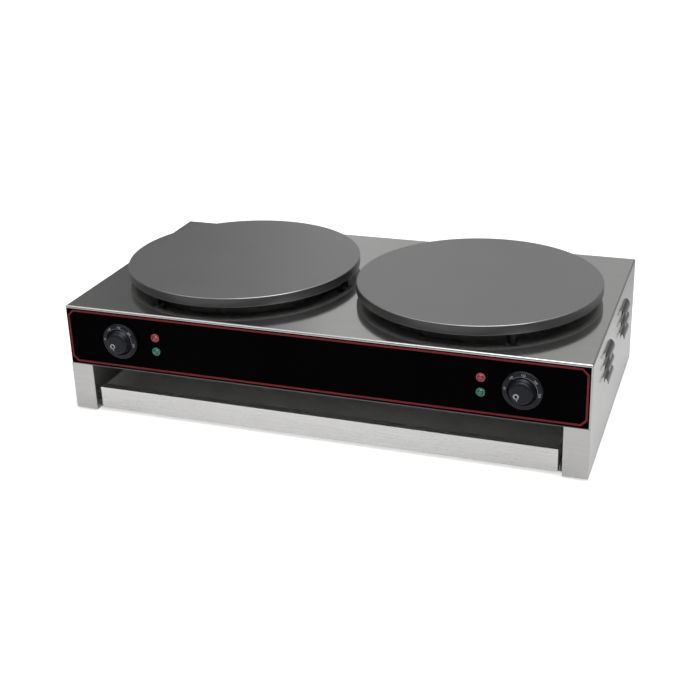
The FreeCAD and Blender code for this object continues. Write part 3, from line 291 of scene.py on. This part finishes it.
# Spreads a source over low to high. A noise runs from about 0.3 to 0.7.
def spread(tree, source, low, high, inLow=0.3, inHigh=0.7):
    return fed(tree, "MapRange", source, inLow, inHigh, low, high)


def blendColours(tree, factor, first, second):
    return mixed(tree, "RGBA", factor, (*first, 1), (*second, 1))


def addTogether(tree, first, second):
    return fed(tree, "Math", first, second, operation="ADD")


def dent(tree, shader, height, look):
    bump = addNode(tree, "Bump")
    bump.inputs["Strength"].default_value = look["bump"]
    bump.inputs["Distance"].default_value = look["depth"]
    tree.links.new(height, bump.inputs["Height"])
    tree.links.new(bump.outputs[0], shader.inputs["Normal"])


# Painted shade on the hood: its inside, its louvres and its lower lip are darkened where shade
# falls.
paintedShade = {
    "inside": {"middle": (0, 0, 0.1375), "half": (0.4296, 0.2262, 0.0499), "tone": 0.06},
    "leftLouvres": {"middle": (-0.4364, 0, 0.131), "half": (0.0049, 0.14, 0.03), "tone": 0.30},
    "rightLouvres": {"middle": (0.4364, 0, 0.131), "half": (0.0049, 0.14, 0.03), "tone": 0.30},
    "lowerLip": {"middle": (0, -0.2282, 0.0868), "half": (0.4285, 0.0015, 0.0014), "tone": 0.28},
}


def insideBox(tree, source, box):
    away = fed(tree, "VectorMath", source, box["middle"], operation="SUBTRACT")
    reach = fed(tree, "VectorMath", away, operation="ABSOLUTE")
    share = axes(tree, fed(tree, "VectorMath", reach, box["half"], operation="DIVIDE"))
    largest = fed(tree, "Math", share["X"], share["Y"], operation="MAXIMUM")
    largest = fed(tree, "Math", largest, share["Z"], operation="MAXIMUM")
    return fed(tree, "Math", largest, 1, operation="LESS_THAN")


def shadeTo(tree, colour, factor, tone):
    return mixed(tree, "RGBA", factor, colour, grey(tone), blend_type="MULTIPLY")


sheetGrain = {"detail": 4, "grainRough": 0.65, "smearRough": 0.6, "sideFrom": 0.7}


def sheetMetal(name, look):
    paint, tree, shader = newFinish(name)
    coords = addNode(tree, "TexCoord").outputs
    here = coords["Object"]
    sideways = fed(tree, "Math", axes(tree, coords["Normal"])["X"], operation="ABSOLUTE")
    onSide = fed(tree, "Math", sideways, sheetGrain["sideFrom"], operation="GREATER_THAN")
    fine, long = look["grain"], look["grain"] / look["stretch"]
    along = mixed(tree, "VECTOR", onSide, stretched(tree, here, (long, fine, fine)),
                  stretched(tree, here, (fine, long, fine)))
    grain = cloud(tree, along, detail=sheetGrain["detail"], rough=sheetGrain["grainRough"])
    smears = cloud(tree, here, scale=look["smears"], detail=sheetGrain["detail"],
                   rough=sheetGrain["smearRough"])
    shader.inputs["Metallic"].default_value = 1
    colour = blendColours(tree, spread(tree, grain, 0, 1), look["dark"], look["pale"])
    # where given, the sides are painted lighter or darker, as light or shade on them
    if "paintedSideLight" in look:
        colour = shadeTo(tree, colour, onSide, look["paintedSideLight"])
    if "dullInside" in look:
        dullPart = insideBox(tree, here, look["dullInside"])
        metallic = spread(tree, dullPart, 1, look["dullMetallic"], 0, 1)
        tree.links.new(metallic, shader.inputs["Metallic"])
    # each box darkens the colour inside it, as painted shade
    for box in look.get("paintedShade", {}).values():
        colour = shadeTo(tree, colour, insideBox(tree, here, box), box["tone"])
    tree.links.new(colour, shader.inputs["Base Color"])
    low, high = look["roughness"]
    half = (high - low) / 2
    dull = addTogether(tree, spread(tree, grain, low, low + half), spread(tree, smears, 0, half))
    tree.links.new(dull, shader.inputs["Roughness"])
    dent(tree, shader, grain, look)
    return paint


plainSpeckle = {
    "detail": 3, "fineRough": 0.6, "broadRough": 0.5,
    "metallic": 0, "specular": 0.5, "coat": 0, "coatRoughness": 0.05,
}


def speckled(name, changes):
    look = {**plainSpeckle, **changes}
    paint, tree, shader = newFinish(name)
    here = addNode(tree, "TexCoord").outputs["Object"]
    fine = cloud(tree, here, scale=look["fine"], detail=look["detail"], rough=look["fineRough"])
    broad = cloud(tree, here, scale=look["broad"], detail=look["detail"], rough=look["broadRough"])
    colour = blendColours(tree, spread(tree, broad, 0, 1), look["dark"], look["pale"])
    tree.links.new(colour, shader.inputs["Base Color"])
    low, high = look["roughness"]
    half = (high - low) / 2
    dull = addTogether(tree, spread(tree, fine, low, low + half), spread(tree, broad, 0, half))
    tree.links.new(dull, shader.inputs["Roughness"])
    shader.inputs["Metallic"].default_value = look["metallic"]
    shader.inputs["Specular IOR Level"].default_value = look["specular"]
    shader.inputs["Coat Weight"].default_value = look["coat"]
    shader.inputs["Coat Roughness"].default_value = look["coatRoughness"]
    dent(tree, shader, fine, look)
    return paint


# The griddles' iron: machined rings on a seasoned top, a side painted darker as shade,
# a bare underside and a rim rubbed bright. Each pair of tilts, from -1 down to 1 up, is where
# a blend runs.
griddleLook = {
    "pale": (0.136, 0.136, 0.136), "dark": (0.114, 0.114, 0.114),
    "shadedSidePale": (0.036, 0.036, 0.038), "shadedSideDark": (0.02, 0.02, 0.022),
    "bare": (0.42, 0.42, 0.42), "worn": (0.30, 0.30, 0.30),
    "topTilt": (0.2, 0.6), "bareTilt": (-0.9, -0.6),
    "wornTilt": (0.35, 0.55), "wornEnd": (0.87, 0.97),
    "roughness": (0.34, 0.46), "wornRoughness": 0.16, "metallic": 0.25, "wornMetallic": 0.9,
    "middle": 0.208,  # from the machine's middle to a griddle's middle
    "rings": 240, "ringDetail": 3, "ringShare": 0.45, "ringHeight": 0.6,
    "fine": 1500, "fineDetail": 2, "broad": 9, "broadDetail": 4, "broadRough": 0.6,
    "specular": 0.6, "coat": 0.8, "coatRoughness": 0.3, "bump": 0.10, "depth": 0.0003,
}


def griddleIron(name, look):
    paint, tree, shader = newFinish(name)
    coords = addNode(tree, "TexCoord").outputs
    here = coords["Object"]
    place = axes(tree, here)
    mirrored = fed(tree, "Math", place["X"], operation="ABSOLUTE")
    centred = fed(tree, "Math", mirrored, look["middle"], operation="SUBTRACT")
    flat = fed(tree, "CombineXYZ", centred, place["Y"])
    reach = fed(tree, "VectorMath", flat, out="Value", operation="LENGTH")
    ringNoise = addNode(tree, "TexNoise", noise_dimensions="1D")
    ringNoise.inputs["Scale"].default_value = look["rings"]
    ringNoise.inputs["Detail"].default_value = look["ringDetail"]
    tree.links.new(reach, ringNoise.inputs["W"])
    rings = ringNoise.outputs["Fac"]
    grit = cloud(tree, here, scale=look["fine"], detail=look["fineDetail"])
    seasoning = cloud(tree, here, scale=look["broad"], detail=look["broadDetail"],
                      rough=look["broadRough"])
    mottle = addTogether(tree, spread(tree, rings, 0, look["ringShare"]),
                         spread(tree, seasoning, 0, 1 - look["ringShare"]))
    top = blendColours(tree, mottle, look["dark"], look["pale"])
    # the side's colour is painted shade, darker than the top
    side = blendColours(tree, seasoning, look["shadedSideDark"], look["shadedSidePale"])
    tilt = axes(tree, coords["Normal"])["Z"]
    upward = spread(tree, tilt, 0, 1, *look["topTilt"])
    downward = spread(tree, tilt, 1, 0, *look["bareTilt"])
    worn = fed(tree, "Math", spread(tree, tilt, 0, 1, *look["wornTilt"]),
               spread(tree, tilt, 1, 0, *look["wornEnd"]), operation="MULTIPLY")
    colour = mixed(tree, "RGBA", upward, side, top)
    colour = mixed(tree, "RGBA", downward, colour, (*look["bare"], 1))
    colour = mixed(tree, "RGBA", worn, colour, (*look["worn"], 1))
    tree.links.new(colour, shader.inputs["Base Color"])
    low, high = look["roughness"]
    third = (high - low) / 3
    dull = addTogether(tree, spread(tree, rings, low, low + third),
                       spread(tree, seasoning, 0, third))
    dull = addTogether(tree, dull, spread(tree, grit, 0, third))
    dull = mixed(tree, "FLOAT", worn, dull, look["wornRoughness"])
    tree.links.new(dull, shader.inputs["Roughness"])
    metallic = spread(tree, worn, look["metallic"], look["wornMetallic"], 0, 1)
    tree.links.new(metallic, shader.inputs["Metallic"])
    shader.inputs["Specular IOR Level"].default_value = look["specular"]
    shader.inputs["Coat Weight"].default_value = look["coat"]
    shader.inputs["Coat Roughness"].default_value = look["coatRoughness"]
    height = addTogether(tree, spread(tree, rings, 0, look["ringHeight"]),
                         spread(tree, grit, 0, 1 - look["ringHeight"]))
    dent(tree, shader, height, look)
    return paint


satinLook = {
    "pale": (0.625, 0.62, 0.612), "dark": (0.565, 0.56, 0.555), "roughness": (0.08, 0.16),
    "grain": 420, "stretch": 40, "smears": 6, "bump": 0.05, "depth": 0.0003,
}
finishes = {
    "satin_steel": sheetMetal("satinSteel", satinLook),
    "drawer_steel": sheetMetal("drawerSteel", {
        "pale": (0.82, 0.815, 0.805), "dark": (0.74, 0.735, 0.725), "roughness": (0.22, 0.34),
        "grain": 380, "stretch": 30, "smears": 8, "bump": 0.06, "depth": 0.0003}),
    "tray_sheet": speckled("traySheet", {
        "pale": (0.68, 0.68, 0.67), "dark": (0.60, 0.60, 0.59), "roughness": (0.45, 0.6),
        "fine": 700, "broad": 22, "metallic": 0.05, "bump": 0.05, "depth": 0.0002}),
    "inner_steel": speckled("innerSteel", {
        "pale": (0.56, 0.56, 0.55), "dark": (0.44, 0.445, 0.45), "roughness": (0.4, 0.56),
        "fine": 600, "broad": 26, "metallic": 0.25, "bump": 0.05, "depth": 0.0002}),
    "pan_steel": sheetMetal("panSheet", {
        "pale": (0.17, 0.165, 0.16), "dark": (0.10, 0.097, 0.093), "roughness": (0.35, 0.5),
        "grain": 160, "stretch": 3, "smears": 14, "bump": 0.06, "depth": 0.0003}),
    "zinc": sheetMetal("zincPlate", {
        "pale": (0.70, 0.70, 0.69), "dark": (0.52, 0.52, 0.50), "roughness": (0.15, 0.32),
        "grain": 900, "stretch": 4, "smears": 60, "bump": 0.08, "depth": 0.0001}),
    "brass": sheetMetal("plainBrass", {
        "pale": (0.70, 0.54, 0.26), "dark": (0.50, 0.36, 0.16), "roughness": (0.18, 0.38),
        "grain": 700, "stretch": 5, "smears": 70, "bump": 0.08, "depth": 0.0001}),
    "copper_sensor": sheetMetal("copperTube", {
        "pale": (0.62, 0.34, 0.20), "dark": (0.40, 0.20, 0.12), "roughness": (0.2, 0.42),
        "grain": 500, "stretch": 6, "smears": 40, "bump": 0.06, "depth": 0.0001}),
    "dark_cast_iron": griddleIron("griddleIron", griddleLook),
    "panel_glass": speckled("panelGloss", {
        "pale": (0.0009, 0.0009, 0.0010), "dark": (0.0004, 0.0004, 0.0005),
        "roughness": (0.18, 0.28),
        "fine": 900, "broad": 7, "specular": 0.012, "bump": 0.03, "depth": 0.0001}),
    "dial_plastic": speckled("dialPlastic", {
        "pale": (0.0085, 0.0095, 0.0145), "dark": (0.006, 0.0068, 0.0105),
        "roughness": (0.22, 0.32),
        "fine": 2600, "broad": 90, "specular": 0.26, "bump": 0.12, "depth": 0.0001}),
    "bezel_red": speckled("bezelRed", {
        "pale": (0.50, 0.09, 0.13), "dark": (0.36, 0.04, 0.07), "roughness": (0.12, 0.25),
        "fine": 1800, "broad": 300, "coat": 0.4, "bump": 0.04, "depth": 0.0001}),
    "bezel_green": speckled("bezelGreen", {
        "pale": (0.07, 0.30, 0.23), "dark": (0.02, 0.16, 0.12), "roughness": (0.12, 0.25),
        "fine": 1800, "broad": 300, "coat": 0.4, "bump": 0.04, "depth": 0.0001}),
    "lamp_red": speckled("lampRed", {
        "pale": (0.36, 0.012, 0.035), "dark": (0.20, 0.003, 0.01), "roughness": (0.08, 0.18),
        "fine": 1500, "broad": 420, "coat": 0.8, "bump": 0.05, "depth": 0.0001}),
    "lamp_green": speckled("lampGreen", {
        "pale": (0.005, 0.16, 0.11), "dark": (0.0, 0.07, 0.05), "roughness": (0.08, 0.18),
        "fine": 1500, "broad": 420, "coat": 0.8, "bump": 0.05, "depth": 0.0001}),
    "spacer_steel": speckled("spacerSteel", {
        "pale": (0.035, 0.035, 0.036), "dark": (0.02, 0.02, 0.021), "roughness": (0.22, 0.36),
        "fine": 1600, "broad": 120, "metallic": 0.5, "bump": 0.08, "depth": 0.0001}),
    "element_tube": speckled("elementSheath", {
        "pale": (0.12, 0.11, 0.10), "dark": (0.06, 0.055, 0.05), "roughness": (0.5, 0.75),
        "fine": 1400, "broad": 60, "metallic": 0.4, "bump": 0.2, "depth": 0.0002}),
    "fibre": speckled("pressedFibre", {
        "pale": (0.46, 0.44, 0.40), "dark": (0.34, 0.32, 0.29), "roughness": (0.8, 0.95),
        "fine": 700, "broad": 40, "specular": 0.2, "bump": 0.6, "depth": 0.0008}),
    "ceramic": speckled("glazedCeramic", {
        "pale": (0.80, 0.78, 0.72), "dark": (0.70, 0.67, 0.60), "roughness": (0.15, 0.3),
        "fine": 900, "broad": 120, "coat": 0.3, "bump": 0.05, "depth": 0.0002}),
    "wire": speckled("siliconeWire", {
        "pale": (0.55, 0.10, 0.06), "dark": (0.42, 0.06, 0.04), "roughness": (0.45, 0.6),
        "fine": 2000, "broad": 60, "bump": 0.1, "depth": 0.0001}),
    "foot_rubber": speckled("footRubber", {
        "pale": (0.038, 0.037, 0.036), "dark": (0.02, 0.02, 0.02), "roughness": (0.6, 0.8),
        "fine": 1600, "broad": 80, "specular": 0.4, "bump": 0.3, "depth": 0.0002}),
    "gland_nylon": speckled("glandNylon", {
        "pale": (0.035, 0.035, 0.037), "dark": (0.02, 0.02, 0.022), "roughness": (0.35, 0.5),
        "fine": 2200, "broad": 90, "bump": 0.15, "depth": 0.0001}),
    "thermostat_body": speckled("thermostatCase", {
        "pale": (0.42, 0.30, 0.17), "dark": (0.32, 0.21, 0.11), "roughness": (0.4, 0.55),
        "fine": 1500, "broad": 90, "bump": 0.15, "depth": 0.0001}),
}
whitePrint = speckled("whitePrint", {
    "pale": (0.50, 0.50, 0.50), "dark": (0.38, 0.38, 0.39), "roughness": (0.4, 0.55),
    "fine": 3000, "broad": 400, "bump": 0.08, "depth": 0.00005})
redPrint = speckled("redPrint", {
    "pale": (0.215, 0.016, 0.022), "dark": (0.16, 0.011, 0.016), "roughness": (0.3, 0.42),
    "fine": 2500, "broad": 40, "specular": 0.2, "bump": 0.05, "depth": 0.00005})
hoodSteel = sheetMetal("hoodSteel", {**satinLook, "paintedShade": paintedShade})
# The skirts' sides are painted a little lighter, as light falling on them.
skirtSteel = sheetMetal("skirtSteel", {
    **satinLook, "paintedSideLight": 1.06, "dullMetallic": 0.2,
    "dullInside": {"middle": (0, 0, 0.045), "half": (0.4299, 0.2268, 0.0413)}})
paintOf = {"hood": hoodSteel, "skirt_left": skirtSteel, "skirt_right": skirtSteel}
slotOf = {part["node"]: part["material_slot"] for part in frame["record"]["subparts"]}
for name, node in frame["nodes"].items():
    for place in node.material_slots:
        place.material = paintOf.get(name, finishes[slotOf[name]])
print("finishes ready:", len(finishes))


# Shaping helpers

mergeReach = 1e-6
same = 1e-5  # two places closer than this count as one


def newPiece(name, shape, body, slot, paint=None, sharp=32):
    piece = meshObject(name, shape, paint or finishes[slot])
    mesh = piece.data
    mesh.polygons.foreach_set("use_smooth", [True] * len(mesh.polygons))
    mesh.set_sharp_from_angle(angle=math.radians(sharp))
    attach(piece, body)
    return piece


def turned(shape, profile, steps):
    verts = [shape.verts.new((radius, 0, height)) for radius, height in profile]
    edges = [shape.edges.new(pair) for pair in zip(verts, verts[1:])]
    bmesh.ops.spin(shape, geom=verts + edges, cent=(0, 0, 0), axis=(0, 0, 1), angle=fullTurn,
                   steps=steps, use_merge=True)


def closeUp(shape):
    bmesh.ops.remove_doubles(shape, verts=shape.verts, dist=mergeReach)
    bmesh.ops.recalc_face_normals(shape, faces=shape.faces)


def thicken(shape, faces, lift):
    risen = bmesh.ops.extrude_face_region(shape, geom=faces)
    bmesh.ops.translate(shape, verts=newVerts(risen), vec=lift)


def joinInto(target, extra):
    mesh = bpy.data.meshes.new("joined")
    extra.to_mesh(mesh)
    extra.free()
    target.from_mesh(mesh)
    bpy.data.meshes.remove(mesh)


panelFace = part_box("control_panel")[0].y
towardUser = Matrix.Rotation(math.pi / 2, 4, "X")  # turns a piece's top to the user


def onPanel(x, z):
    return Matrix.Translation((x, panelFace, z)) @ towardUser


# Griddles

griddle = {
    "radius": 0.2, "thick": 0.016, "rim": 0.010, "web": 0.009, "steps": 256,
    "edge": 0.0018, "edgeSteps": 4, "hold": 0.0024,  # extra loops that keep the top and side flat
    "middleBoss": 0.012, "middleDrop": 0.001, "boltHole": 0.00405, "holeTop": 0.011,
    "boss": 0.013, "bossSteps": 32, "bossInto": 0.001, "screwHole": 0.00305,
    "supportRing": 0.182, "supports": {"left": (-120, 0, 120), "right": (-60, 60, 180)},
}


# The two sharp corners of the rim, round the top and round the bottom.
def isCorner(edge):
    heights = [vert.co.z for vert in edge.verts]
    onRim = all(abs(vert.co.xy.length - griddle["radius"]) < same for vert in edge.verts)
    atEnd = all(height < same or height > griddle["thick"] - same for height in heights)
    return onRim and atEnd and abs(heights[0] - heights[1]) < same


def makeGriddle(side):
    low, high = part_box(f"hot_plate_{side}")
    radius, thick, drop = griddle["radius"], griddle["thick"], griddle["middleDrop"]
    hollow, inner, hold = thick - griddle["web"], radius - griddle["rim"], griddle["hold"]
    shape = bmesh.new()
    turned(shape, [
        (0, griddle["holeTop"]), (griddle["boltHole"], griddle["holeTop"]),
        (griddle["boltHole"], -drop), (griddle["middleBoss"], -drop),
        (griddle["middleBoss"], hollow), (inner, hollow), (inner, 0), (radius, 0),
        (radius, thick - hold), (radius, thick), (radius - hold, thick), (0, thick),
    ], griddle["steps"])
    closeUp(shape)
    bmesh.ops.bevel(shape, geom=[edge for edge in shape.edges if isCorner(edge)],
                    offset=griddle["edge"], segments=griddle["edgeSteps"], profile=0.5,
                    affect="EDGES", material=-1)
    for angle in griddle["supports"][side]:
        boss = bmesh.new()
        turned(boss, [
            (0, hollow), (griddle["screwHole"], hollow), (griddle["screwHole"], 0),
            (griddle["boss"], 0), (griddle["boss"], hollow + griddle["bossInto"]),
        ], griddle["bossSteps"])
        closeUp(boss)
        swing = Matrix.Rotation(math.radians(angle), 4, "Z")
        away = swing @ Matrix.Translation((griddle["supportRing"], 0, 0))
        bmesh.ops.transform(boss, matrix=away, verts=boss.verts)
        joinInto(shape, boss)
    middle = (low + high) / 2
    bmesh.ops.translate(shape, verts=shape.verts, vec=(middle.x, middle.y, high.z - thick))
    piece = newPiece(f"griddle_{side}", shape, "chassis", "dark_cast_iron")
    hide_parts(f"hot_plate_{side}")


for side in sides:
    makeGriddle(side)
print("griddles made")


# Red outline of the control panel

outlineBand = {
    "halfWidth": 0.4263, "low": 0.0913, "high": 0.1836, "corner": 0.0095, "line": 0.0031,
    "rise": 0.00012,
}


def makeOutline():
    half, low, high, cut = (outlineBand[key] for key in ("halfWidth", "low", "high", "corner"))
    corners = [(-half + cut, low), (half - cut, low), (half, low + cut), (half, high - cut),
               (half - cut, high), (-half + cut, high), (-half, high - cut), (-half, low + cut)]
    shape = bmesh.new()
    sheet = shape.faces.new([shape.verts.new((x, panelFace, z)) for x, z in corners])
    shape.normal_update()
    bmesh.ops.inset_region(shape, faces=[sheet], thickness=outlineBand["line"],
                           use_boundary=True, use_even_offset=True)
    bmesh.ops.delete(shape, geom=[sheet], context="FACES_ONLY")
    thicken(shape, shape.faces[:], (0, -outlineBand["rise"], 0))
    closeUp(shape)
    newPiece("panel_outline", shape, "chassis", "panel_glass", redPrint)


makeOutline()
print("panel outlined")


# Dials: printed numbers, scale band and the knob's mark

dial = {
    "spacing": 0.662, "height": 0.1384,
    "inner": 0.0225, "flatEnd": 0.0283, "depth": 0.0070, "fall": 0.0006,  # the sloping face
    "numbers": {175: "50", 130: "100", 87: "150", 41: "200", -7: "250"},  # by angle
    "textRing": 0.0258, "textSize": 0.0046, "textCurve": 4,
    "printThick": 0.0002, "printRise": 0.00012, "printSunk": 0.00005,
    "band": (0.0229, 0.0232), "bandSpan": (-7, 130), "bandSteps": 72,
}


def faceDepth(radius):
    share = (radius - dial["inner"]) / (dial["flatEnd"] - dial["inner"])
    return dial["depth"] - dial["fall"] * share


def layOnRing(shape):
    lowest = min(vert.co.z for vert in shape.verts)
    for vert in shape.verts:
        lift = dial["printRise"] if vert.co.z - lowest > same else -dial["printSunk"]
        vert.co.z = faceDepth(vert.co.xy.length) + lift


def textShape(words):
    curve = bpy.data.curves.new(words, "FONT")
    curve.body = words
    curve.size = dial["textSize"]
    curve.align_x = "CENTER"
    curve.align_y = "CENTER"
    curve.extrude = dial["printThick"] / 2
    curve.resolution_u = dial["textCurve"]
    carrier = bpy.data.objects.new(words, curve)
    bpy.context.scene.collection.objects.link(carrier)
    bpy.context.view_layer.update()
    mesh = bpy.data.meshes.new_from_object(carrier)
    shape = bmesh.new()
    shape.from_mesh(mesh)
    bpy.data.objects.remove(carrier)
    bpy.data.curves.remove(curve)
    bpy.data.meshes.remove(mesh)
    return shape


def ontoDial(shape, side):
    place = onPanel(sides[side] * dial["spacing"] / 2, dial["height"])
    bmesh.ops.transform(shape, matrix=place, verts=shape.verts)


def makeScale(side):
    scale = bmesh.new()
    for angle, words in dial["numbers"].items():
        number = textShape(words)
        swing = Matrix.Rotation(math.radians(angle - 90), 4, "Z")  # the text starts at the top
        away = swing @ Matrix.Translation((0, dial["textRing"], 0))
        bmesh.ops.transform(number, matrix=away, verts=number.verts)
        layOnRing(number)
        joinInto(scale, number)
    band = bmesh.new()
    start, end = dial["bandSpan"]
    run = [band.verts.new((radius, 0, 0)) for radius in dial["band"]]
    edge = band.edges.new(run)
    bmesh.ops.rotate(band, verts=run, cent=(0, 0, 0),
                     matrix=Matrix.Rotation(math.radians(start), 3, "Z"))
    bmesh.ops.spin(band, geom=run + [edge], cent=(0, 0, 0), axis=(0, 0, 1),
                   angle=math.radians(end - start), steps=dial["bandSteps"])
    thicken(band, band.faces[:], (0, 0, dial["printThick"]))
    layOnRing(band)
    joinInto(scale, band)
    closeUp(scale)
    ontoDial(scale, side)
    newPiece(f"dial_scale_{side}", scale, "chassis", "dial_plastic", whitePrint)


knobMark = {
    "face": 0.0175, "middle": (-0.0066, -0.0043), "ring": 0.0034, "line": 0.0020, "steps": 48,
    "tail": 0.0076, "tailAngle": -77, "rise": 0.0001, "sunk": 0.00002,
    "tailHalf": 0.75, "tailStart": 0.55, "tailNotch": 1.05,  # as shares of the ring
}


def makeKnobMark(side):
    ring, rise = knobMark["ring"], knobMark["rise"]
    near, far = ring - knobMark["line"] / 2, ring + knobMark["line"] / 2
    shape = bmesh.new()
    turned(shape, [(near, 0), (far, 0), (far, rise), (near, rise), (near, 0)], knobMark["steps"])
    half, start, notch = (ring * knobMark[key] for key in ("tailHalf", "tailStart", "tailNotch"))
    points = [(start, -half), (knobMark["tail"], 0), (start, half), (notch, 0)]
    tail = bmesh.new()
    face = tail.faces.new([tail.verts.new((x, y, 0)) for x, y in points])
    thicken(tail, [face], (0, 0, rise))
    bmesh.ops.rotate(tail, verts=tail.verts, cent=(0, 0, 0),
                     matrix=Matrix.Rotation(math.radians(knobMark["tailAngle"]), 3, "Z"))
    joinInto(shape, tail)
    closeUp(shape)
    bmesh.ops.translate(shape, verts=shape.verts,
                        vec=(*knobMark["middle"], knobMark["face"] - knobMark["sunk"]))
    ontoDial(shape, side)
    newPiece(f"knob_mark_{side}", shape, f"control_{side}", "dial_plastic", whitePrint)


for side in sides:
    makeScale(side)
    makeKnobMark(side)
print("dials marked")


# Pilot lamps

pilotLamp = {
    "steps": 48, "bezel": 0.0071, "depth": 0.0022, "socket": 0.00505, "seat": 0.003,
    "barrel": 0.0054, "barrelLength": 0.028,
    "rounding": [(0, 0.45), (0.0003, 0.8), (0.0009, 1)],  # inset, and share of the depth
    "groove": 0.0004, "grooveRun": (0.0011, 0.0008, 0.0004),  # its lip and floor, off the socket
    "facets": 12, "lens": 0.005, "sunk": 0.0002, "rise": 0.0026, "lensClear": 0.00005,
    "dome": [(0.80, 0.50), (0.42, 0.88), (0, 1)],  # shares of the lens and of its rise
    "lensSharp": 8,
}


def makeLamp(colour, side):
    low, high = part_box(f"lamp_holder_{colour}_{side}")
    middle = (low + high) / 2
    place = onPanel(middle.x, middle.z)
    outer, depth, socket = pilotLamp["bezel"], pilotLamp["depth"], pilotLamp["socket"]
    barrel, length, seat = pilotLamp["barrel"], pilotLamp["barrelLength"], pilotLamp["seat"]
    lip, floorOut, floorIn = pilotLamp["grooveRun"]
    floorDepth = depth - pilotLamp["groove"]
    bezel = bmesh.new()
    turned(bezel, [
        (0, -length), (barrel, -length), (barrel, 0), (outer, 0),
        *[(outer - inset, depth * share) for inset, share in pilotLamp["rounding"]],
        (socket + lip, depth), (socket + floorOut, floorDepth), (socket + floorIn, floorDepth),
        (socket, depth), (socket, -seat), (0, -seat),
    ], pilotLamp["steps"])
    closeUp(bezel)
    bmesh.ops.transform(bezel, matrix=place, verts=bezel.verts)
    holder = newPiece(f"lamp_bezel_{colour}_{side}", bezel, "chassis", f"bezel_{colour}")
    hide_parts(f"lamp_holder_{colour}_{side}")
    radius, rise = pilotLamp["lens"], pilotLamp["rise"]
    top, bottom = depth - pilotLamp["sunk"], pilotLamp["lensClear"] - seat
    cap = bmesh.new()
    turned(cap, [
        (0, bottom), (radius, bottom), (radius, top),
        *[(radius * across, top + rise * up) for across, up in pilotLamp["dome"]],
    ], pilotLamp["facets"])
    closeUp(cap)
    bmesh.ops.transform(cap, matrix=place, verts=cap.verts)
    lens = newPiece(f"lamp_cap_{colour}_{side}", cap, "chassis", f"lamp_{colour}",
                    sharp=pilotLamp["lensSharp"])
    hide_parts(f"lamp_lens_{colour}_{side}")


for side in sides:
    for colour in ("red", "green"):
        makeLamp(colour, side)
print("pilot lamps made")
